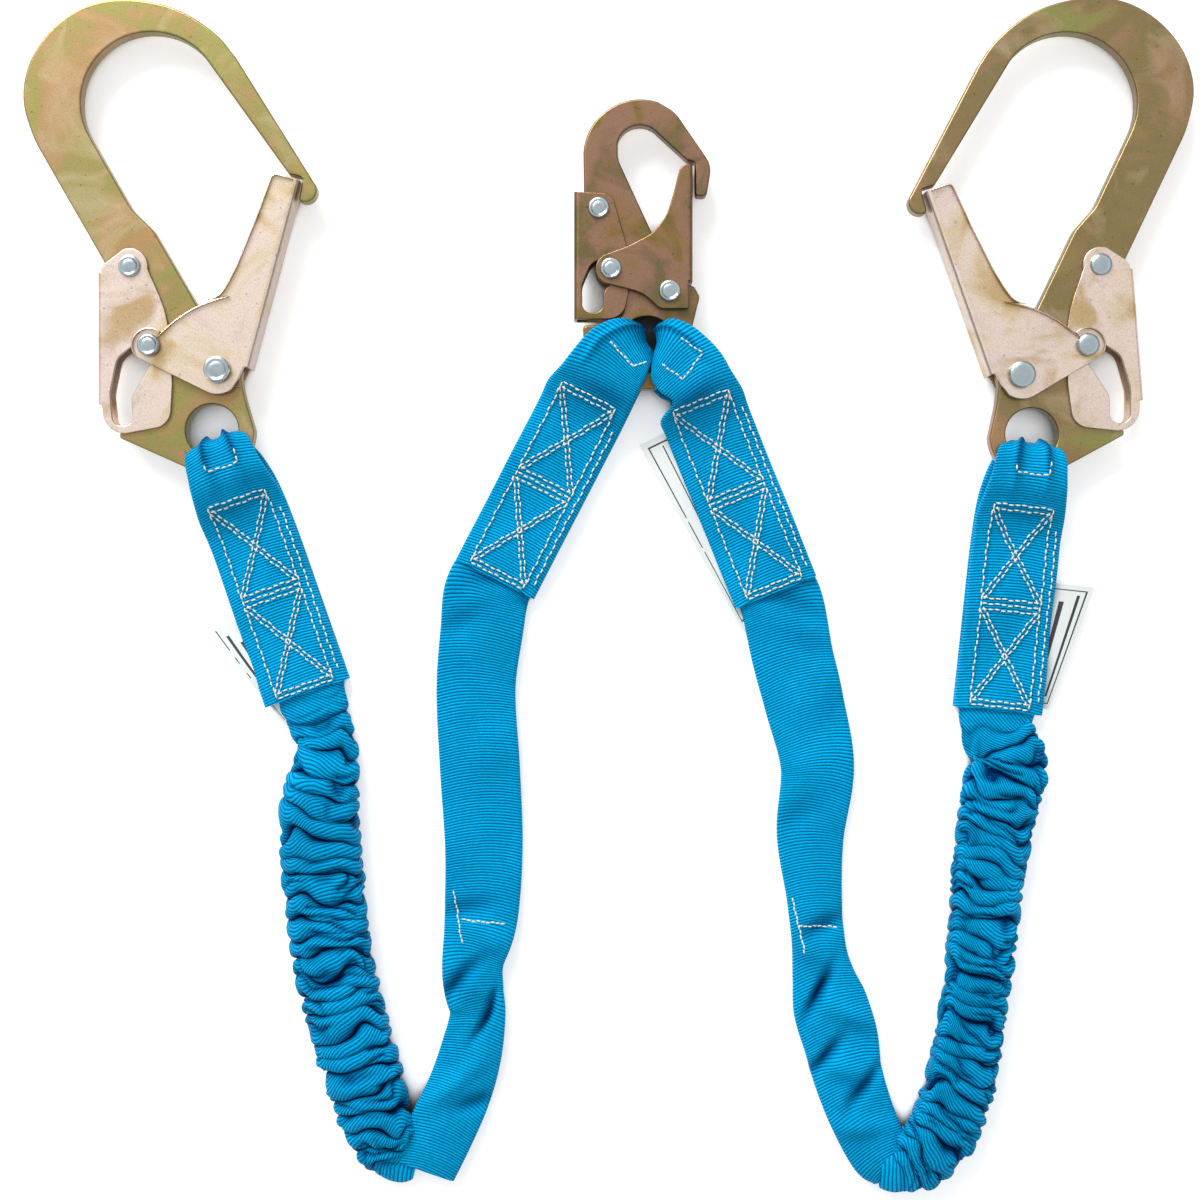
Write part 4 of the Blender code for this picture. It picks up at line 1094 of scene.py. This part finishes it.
def flat_leg(side, rows, waves, tacks):
    """The flat jacket of a leg: a tube of webbing pressed flat over its core, with soft waves."""
    route, across, _, gone = route_frame(rows, 1.8)
    edges = []
    for (x, y, width, height, roll), (sx, sy) in zip(route, across):
        half = width / 2
        low, high = height / 2 - min(roll, 0), height / 2 + max(roll, 0)
        edges.append((x - sx * half, y - sy * half, low, x + sx * half, y + sy * half, high))
    edges = np.array(edges)
    total = gone[-1]

    def field(a, s):
        rise = 0.9 + 0.8 * np.sin(s * 0.05 + 1.0) * a + 0.6 * np.sin(s * 0.083 + a * 1.6)
        dark = np.zeros_like(a)
        for centre, slant, wide, deep, spot, spread in waves:
            x = (s - centre - slant * a) / wide
            mask = bell((a - spot) / spread)
            rise = rise + WAVE_HEIGHT * deep * bell(x) * mask
            # Painted shade in the troughs of the waves.
            dark = dark + max(0.0, -deep) * 0.34 * bell(x * 1.25) * mask
        return rise, dark

    def lift(a, s):
        rise, _ = field(a, s)
        return rise * eased((total - s) / 10)

    def crease_shade(a, s):
        return field(a, s)[1]

    mesh = band(f"{side}_flat_jacket_webbing", edges, 3.6, lift, crease_shade, 2.6, 48, 1.15)
    jacket = show(mesh.name, mesh, BLUE, None, [f"{side}_flat_jacket", f"{side}_absorber_core"])
    bpy.context.view_layer.update()

    def beside(spot):
        return LAY + Vector((spot[0], spot[1], 0)) * MM

    sewn = stitches(f"{side}_tack_thread", tacks, beside, jacket, f"{side}_upper_leg", 2.4, 2.2)
    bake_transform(jacket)


def elastic_leg(side, rows, pleats, seed):
    """The elastic jacket: a tube of webbing gathered into deep uneven pleats."""
    route, across, along, gone = route_frame(rows, 0.55)
    around = 96
    turn = np.linspace(0, 2 * math.pi, around, endpoint=False)
    total = gone[-1]
    count = len(route)
    cos = np.cos(turn)[None, :]
    sin = np.sin(turn)[None, :]
    s = gone[:, None]
    fade = eased((s - 5) / 16) * eased((total - s - 6) / 30)

    warp = np.zeros((count, around))
    swell = np.zeros((count, around))
    pick = np.zeros((count, around))
    for i in range(count):
        for j in range(around):
            c, d = float(cos[0, j]), float(sin[0, j])
            here = Vector((c * 1.1, d * 0.8, gone[i] * 0.055 + seed))
            warp[i, j] = noise.noise(here)
            swell[i, j] = noise.noise(Vector((c * 0.9, d * 0.9, gone[i] * 0.11 + seed * 3)))
            pick[i, j] = noise.noise(Vector((c * 1.0, d * 0.7, gone[i] * 0.09 + seed * 7)))
    phase = pleats * (s / total) + 0.95 * warp + 0.2 * cos + 0.12 * np.sin(2 * turn)[None, :]
    share = eased(0.55 + 3.0 * pick)
    ridge = np.abs(np.sin(math.pi * phase)) ** 0.6
    small = np.abs(np.sin(math.pi * (phase * 1.9 + 1.6 * swell + 0.3 * cos))) ** 0.6
    pleat = ridge * (1 - 0.5 * share * (1 - small))
    deep = 1 - pleat
    bulk = 1 + 0.6 * swell

    half_width = route[:, 2][:, None] / 2
    height = route[:, 3][:, None]
    wide = half_width * (1 + 0.07 * swell * fade) + fade * (1.4 - PLEAT_WIDE * deep * bulk)
    tall = height / 2 * (1 + 0.1 * swell * fade) + fade * (0.8 - PLEAT_TALL * deep * bulk)
    power = 0.72
    x = np.sign(cos) * np.abs(cos) ** power * wide
    z = np.sign(sin) * np.abs(sin) ** power * tall
    lean = -fade * LOBE_LEAN * np.sin(2 * math.pi * phase) * bulk
    centre = np.maximum(height / 2, 3.4)
    base = route[:, :2][:, None]
    ground = base + across[:, None] * x[..., None] + along[:, None] * lean[..., None]
    grid = np.concatenate([ground, np.maximum(centre + z, 0.15)[..., None]], axis=-1)
    steps = np.linalg.norm(np.diff(grid, axis=0), axis=2)
    cloth = np.concatenate([np.zeros((1, around)), np.cumsum(steps, axis=0)])
    cloth = cloth * cloth[-1].mean() / cloth[-1:] * GATHERED_RIBS
    reach = 9
    spans = range(-reach, reach + 1)
    cloth = sum(np.roll(cloth, k, axis=1) * (reach + 1 - abs(k)) for k in spans) / (reach + 1) ** 2
    cloth = cloth + eased((s - total + TWIST) / 20) * x * TWIST_SLANT
    # Painted shade: deep in the pleat valleys, and a little over the whole gathered part.
    crease_shade = fade * np.clip(deep * 2.0, 0.14, 1.1)
    weave_and_shade = np.stack([x * MM, cloth * MM, crease_shade], axis=-1)
    mesh = woven(f"{side}_elastic_jacket_webbing", grid * MM + np.array(LAY), weave_and_shade)
    jacket = show(
        mesh.name, mesh, BLUE, None, [f"{side}_elastic_jacket", f"{side}_elastic_web"],
    )
    slide = Vector(JOINTS[f"{side}_leg_stretch"]["axis"])
    fold = Vector(JOINTS[f"{side}_leg_fold"]["pos_m"])
    last = LAY + Vector((*route[-1][:2], 0)) * MM
    reach = (last - fold).dot(slide)
    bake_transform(jacket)


# --- Labels --------------------------------------------------------------------------------------


def label(node, corners, bars, body, curl):
    """A folded pack of printed label cloth under a tab, with frame lines and plain bars."""
    (ax, ay, az), (bx, by, bz), (cx, cy, cz), (dx, dy, dz) = corners

    def surface(u, v, up):
        low = Vector((ax, ay, az)).lerp(Vector((bx, by, bz)), u)
        high = Vector((dx, dy, dz)).lerp(Vector((cx, cy, cz)), u)
        spot = low.lerp(high, v)
        spot.z += curl * math.sin(math.pi * v) * (1 - u) + up
        return LAY + spot * MM

    def slab(bm, box, low, high, index, steps):
        u0, v0, u1, v1 = box
        grid = []
        for up in (low, high):
            grid.append([
                [bm.verts.new(surface(u0 + (u1 - u0) * i / steps, v0 + (v1 - v0) * j / steps, up))
                 for i in range(steps + 1)] for j in range(steps + 1)
            ])
        for j in range(steps):
            for i in range(steps):
                for sheet in grid:
                    face = bm.faces.new((
                        sheet[j][i], sheet[j][i + 1], sheet[j + 1][i + 1], sheet[j + 1][i],
                    ))
                    face.material_index = index
        rim = [(0, i) for i in range(steps)] + [(j, steps) for j in range(steps)]
        rim += [(steps, steps - i) for i in range(steps)] + [(steps - j, 0) for j in range(steps)]
        for (j, i), (l, k) in zip(rim, rim[1:] + rim[:1]):
            face = bm.faces.new((grid[0][j][i], grid[0][l][k], grid[1][l][k], grid[1][j][i]))
            face.material_index = index

    bm = bmesh.new()
    slab(bm, (0, 0, 1, 1), 0.0, 0.55, 0, 24)
    for box in bars:
        slab(bm, box, 0.5, 0.6, 1, 6)
    mesh = finished(bm, f"{node}_cloth", math.radians(50))
    piece = show(mesh.name, mesh, PAPER, body, [node])
    piece.data.materials.append(INK)


def frame_bars(inset_u, inset_v, line):
    """The four thin lines of a printed frame."""
    u1, v1 = 1 - inset_u, 1 - inset_v
    return [
        (inset_u, inset_v, u1, inset_v + line), (inset_u, v1 - line, u1, v1),
        (inset_u, inset_v, inset_u + line * 2, v1), (u1 - line * 2, inset_v, u1, v1),
    ]


# --- The lanyard ---------------------------------------------------------------------------------


def build():
    """The three hooks, four tabs, two legs and three labels."""
    rebar = (rebar_plate(), rebar_gate(), rebar_lever(), rebar_slot())
    snap = (snap_plate(), snap_gate(), snap_lever(), snap_slot())
    place = frame_at(SNAP_EYE, 0.0)
    hook("snap_hook", "snap", SNAP, snap, place, BROWN_ZINC, BROWN_ZINC, True)
    place = frame_at(LEFT_EYE, LEFT_HOOK_TURN)
    hook("left_hook", "left", REBAR, rebar, place, YELLOW_ZINC, PALE_ZINC, True)
    place = frame_at(RIGHT_EYE, RIGHT_HOOK_TURN, flipped=True)
    hook("right_hook", "right", REBAR, rebar, place, DARK_ZINC, PALE_ZINC, False)

    hook_tab("left", LEFT_EYE, LEFT_HOOK_TAB)
    hook_tab("right", RIGHT_EYE, RIGHT_HOOK_TAB)
    snap_tab("left", LEFT_SNAP_TAB, LEFT_TURN_ROWS, -1)
    snap_tab("right", RIGHT_SNAP_TAB, RIGHT_TURN_ROWS, 1)

    hidden = 130.0
    start = tab_spot(SNAP_EYE, LEFT_SNAP_TAB, hidden, -SNAP_TAB_SHIFT, 0)[:2]
    second = tab_spot(SNAP_EYE, LEFT_SNAP_TAB, 146.0, -SNAP_TAB_SHIFT - 0.8, 0)[:2]
    left_flat = [
        (*start, 40.0, 5.6, 0), (*second, 43.0, 5.8, 0), (-59.5, -14.0, 42.0, 5.8, 0),
        (-62.5, -45.0, 40.0, 5.8, 0), (-60.5, -85.0, 40.5, 5.8, 0), (-58.5, -125.0, 39.0, 5.8, 0),
        (-60.0, -160.0, 37.0, 5.8, 1), (-64.0, -182.0, 31.0, 7.0, 2), (-63.5, -196.0, 30.0, 8.0, 2),
        (-61.5, -208.0, 28.0, 8.0, 0), (-64.5, -226.0, 31.0, 8.0, -1), (-70.5, -246.0, 33.0, 7.6, 1),
        (-79.5, -266.0, 34.0, 8.4, 2), (-87.5, -287.0, 30.0, 9.4, 1),
    ]
    left_waves = [
        (8.0, 14.0, 7.0, -0.9, 0.2, 0.8), (26.0, 10.0, 8.0, -1.0, 0.5, 0.6),
        (58.0, -6.0, 16.0, -0.5, 0.5, 0.6), (100.0, 8.0, 14.0, 0.5, -0.3, 0.8),
        (175.0, 5.0, 5.0, -1.4, 0.4, 0.7), (188.0, -4.0, 7.0, 1.7, -0.5, 0.7),
        (206.0, 12.0, 4.5, -2.4, 0.5, 0.7), (214.0, -8.0, 8.0, 1.6, 0.3, 0.8),
        (240.0, 26.0, 5.0, -2.6, -0.35, 0.35), (262.0, 24.0, 9.0, 1.2, 0.2, 0.7),
        (278.0, 10.0, 5.0, -1.8, -0.6, 0.5),
    ]
    tacks = [((-73.6, -146.0), (-69.2, -172.5)), ((-69.5, -160.6), (-47.5, -162.2))]
    flat_leg("left", left_flat, left_waves, tacks)

    end = tab_spot(LEFT_EYE, LEFT_HOOK_TAB, 132.0, 0, 0)[:2]
    last = tab_spot(LEFT_EYE, LEFT_HOOK_TAB, 150.0, 0.5, 0)[:2]
    left_elastic = [
        (-93.0, -286.0, 12.0, 3.6), (-101.0, -284.0, 20.0, 6.6), (-107.5, -274.0, 30.0, 13.0),
        (-112.5, -258.0, 34.0, 17.0), (-118.5, -238.0, 37.5, 18.0), (-126.5, -212.0, 38.0, 18.0),
        (-132.5, -186.0, 38.5, 18.0), (-137.0, -157.0, 38.5, 18.0), (-139.5, -128.0, 38.5, 18.0),
        (-140.5, -104.0, 37.0, 17.0), (-138.0, -86.0, 33.0, 14.0), (-137.5, -72.0, 28.0, 10.0),
        (*last, 33.0, 7.4), (*end, 41.0, 6.4),
    ]
    elastic_leg("left", left_elastic, 26.0, 2.7)

    start = tab_spot(SNAP_EYE, RIGHT_SNAP_TAB, hidden, SNAP_TAB_SHIFT, 0)[:2]
    second = tab_spot(SNAP_EYE, RIGHT_SNAP_TAB, 146.0, SNAP_TAB_SHIFT + 0.8, 0)[:2]
    right_flat = [
        (*start, 40.0, 5.6, 0), (*second, 42.0, 5.8, 0), (97.0, -28.0, 41.0, 5.8, 0),
        (103.0, -52.0, 40.0, 5.8, 0), (109.5, -84.0, 37.0, 5.8, 0), (106.0, -118.0, 34.0, 5.8, -1),
        (108.0, -150.0, 28.0, 6.2, 0), (110.0, -174.0, 27.0, 7.0, 1), (112.0, -188.0, 31.0, 8.0, 2),
        (115.5, -203.0, 38.0, 9.0, 3), (121.0, -222.0, 38.0, 9.0, 2), (125.0, -240.0, 35.0, 9.0, 0),
        (132.0, -260.0, 33.0, 8.6, 1), (141.0, -279.0, 30.0, 8.0, 1), (147.0, -288.0, 22.0, 7.0, 0),
    ]
    right_waves = [
        (12.0, -14.0, 7.0, -0.9, -0.2, 0.8), (34.0, -8.0, 9.0, -0.8, -0.5, 0.6),
        (78.0, 6.0, 12.0, -0.6, -0.5, 0.7), (102.0, -8.0, 9.0, 0.8, 0.4, 0.7),
        (120.0, 9.0, 8.0, -1.0, 0.4, 0.6), (150.0, -5.0, 9.0, 0.6, 0.0, 0.8),
        (181.0, 4.0, 4.5, -2.0, -0.2, 0.8), (196.0, -12.0, 7.0, 2.0, 0.5, 0.6),
        (208.0, 18.0, 4.5, -3.0, 0.2, 0.5), (221.0, -14.0, 7.0, 1.9, -0.4, 0.7),
        (238.0, 12.0, 4.0, -2.6, 0.5, 0.5), (252.0, -9.0, 7.0, 1.8, 0.1, 0.8),
        (268.0, 12.0, 4.0, -2.4, -0.3, 0.6), (284.0, -6.0, 5.0, 1.6, 0.3, 0.8),
    ]
    tacks = [((96.6, -149.5), (102.6, -177.0)), ((99.6, -163.9), (119.4, -164.6))]
    flat_leg("right", right_flat, right_waves, tacks)

    end = tab_spot(RIGHT_EYE, RIGHT_HOOK_TAB, 132.0, 0, 0)[:2]
    last = tab_spot(RIGHT_EYE, RIGHT_HOOK_TAB, 150.0, 0.5, 0)[:2]
    right_elastic = [
        (141.0, -287.0, 18.0, 8.0), (150.0, -287.0, 22.0, 11.0), (161.0, -280.0, 30.0, 15.0),
        (171.5, -266.0, 33.0, 17.0), (179.5, -246.0, 33.0, 17.0), (184.5, -222.0, 32.0, 17.0),
        (188.5, -195.0, 31.5, 17.0), (191.5, -168.0, 33.0, 17.0), (194.0, -142.0, 34.0, 17.0),
        (197.5, -118.0, 36.0, 17.0), (201.5, -96.0, 38.5, 16.0), (206.5, -80.0, 36.0, 13.0),
        (*last, 35.0, 8.6), (*end, 41.0, 6.4),
    ]
    elastic_leg("right", right_elastic, 30.0, 9.4)

    lines = frame_bars(0.07, 0.03, 0.008)
    bars = [(0.42, 0.10 + 0.085 * k, 0.47, 0.155 + 0.085 * k) for k in range(9)]
    bars += [(0.24, 0.05, 0.255, 0.95), (0.62, 0.2, 0.66, 0.72), (0.76, 0.3, 0.79, 0.86)]
    label(
        "right_snap_label", [(19.8, 78.0, 4.0), (58.0, 96.0, 4.2), (88.0, 4.0, 4.2), (72.0, -15.5, 4.0)],
        lines + bars, "right_upper_leg", 2.0,
    )
    bars = [(0.04, 0.02, 0.055, 0.94), (0.12, 0.1, 0.16, 0.62), (0.24, 0.2, 0.3, 0.5)]
    bars += [(0.24, 0.56, 0.3, 0.72), (0.4, 0.1, 0.43, 0.86)]
    label(
        "left_hook_label",
        [(-196.0, -15.5, 4.0), (-160.0, 0.0, 4.2), (-146.0, -46.0, 4.2), (-157.0, -64.0, 3.6)],
        bars, "left_hook_tab", 3.5,
    )
    bars = [(0.86, 0.08, 0.89, 0.9), (0.70, 0.14, 0.75, 0.82), (0.58, 0.1, 0.62, 0.7)]
    label(
        "right_hook_label",
        [(196.0, 12.0, 4.2), (249.2, 6.4, 4.6), (226.0, -55.0, 4.0), (196.0, -52.0, 4.2)],
        frame_bars(0.05, 0.04, 0.008) + bars, "right_hook_tab", 1.5,
    )


# --- Studio --------------------------------------------------------------------------------------


def area_light(name, place, target, size, power):
    """A rectangular lamp that faces a target."""
    lamp = bpy.data.lights.new(name, "AREA")
    lamp.shape = "RECTANGLE"
    lamp.size, lamp.size_y = size
    lamp.energy = power
    thing = bpy.data.objects.new(name, lamp)
    thing.location = place
    thing.rotation_euler = (Vector(target) - Vector(place)).to_track_quat("-Z", "Y").to_euler()
    bpy.context.scene.collection.objects.link(thing)


def studio():
    """A pale lit floor that glows, with painted shadow where parts hang close above it, a dome with a
    bright horizon, a dark band and a bright ring, and one soft box.
    """
    bm = bmesh.new()
    bmesh.ops.create_grid(bm, x_segments=1, y_segments=1, size=12.0)
    floor_mesh = finished(bm, "floor")
    floor = bpy.data.objects.new("floor", floor_mesh)
    floor.location = (0, 0, -0.0004)
    paint = Paint("floor_paper_painted_shadow")
    tone = paint.mix(paint.noise(3.0), (0.72, 0.72, 0.72, 1), (0.76, 0.76, 0.76, 1))
    # Painted shadow: the floor's glow fades and its colour goes dark grey where parts hang close above,
    # in slots and eyes and under the hooks.
    openness_for_painted_shadow = paint.node("ShaderNodeAmbientOcclusion", {"samples": 24}, Distance=0.022).outputs["AO"]
    glow = paint.ramp(openness_for_painted_shadow, [(0.24, 0.0), (0.42, 0.5)])
    tone = paint.mix(paint.ramp(openness_for_painted_shadow, [(0.18, 0.0), (0.38, 1.0)]), srgb(90, 84, 80), tone)
    floor_mesh.materials.append(paint.shade(
        Base_Color=tone, Roughness=0.9, Emission_Color=glow, Emission_Strength=1.0,
    ))
    bpy.context.scene.collection.objects.link(floor)

    world = bpy.data.worlds.new("studio")
    world.use_nodes = True
    bpy.context.scene.world = world
    tree = world.node_tree
    where = tree.nodes.new("ShaderNodeTexCoord")
    split = tree.nodes.new("ShaderNodeSeparateXYZ")
    ramp = tree.nodes.new("ShaderNodeValToRGB")
    tree.links.new(where.outputs["Generated"], split.inputs[0])
    tree.links.new(split.outputs["Z"], ramp.inputs[0])
    rings = [(0.0, 0.9), (0.12, 0.8), (0.2, 0.12), (0.42, 0.2), (0.54, 1.2), (0.68, 1.2)]
    rings += [(0.82, 0.84), (1.0, 0.9)]
    elements = ramp.color_ramp.elements
    while len(elements) < len(rings):
        elements.new(0.5)
    for element, (place, grey) in zip(elements, rings):
        element.position = place
        element.color = (grey, grey, grey, 1)
    background = tree.nodes["Background"]
    tree.links.new(ramp.outputs["Color"], background.inputs["Color"])
    background.inputs["Strength"].default_value = 0.8

    area_light("key", (-1.6, 3.3, 2.2), (0, 0, 0), (2.6, 2.0), 205)

    lens, sensor, view = 50.0, 36.0, 600.0
    camera_data = bpy.data.cameras.new("camera")
    camera_data.lens = lens
    camera_data.sensor_width = sensor
    camera = bpy.data.objects.new("camera", camera_data)
    height = MIDDLE_Z + view * lens / sensor
    camera.location = LAY + Vector((0, 0, height)) * MM
    bpy.context.scene.collection.objects.link(camera)
    bpy.context.scene.camera = camera
    bpy.context.scene.view_settings.view_transform = "Standard"


build()
studio()
bpy.context.view_layer.update()
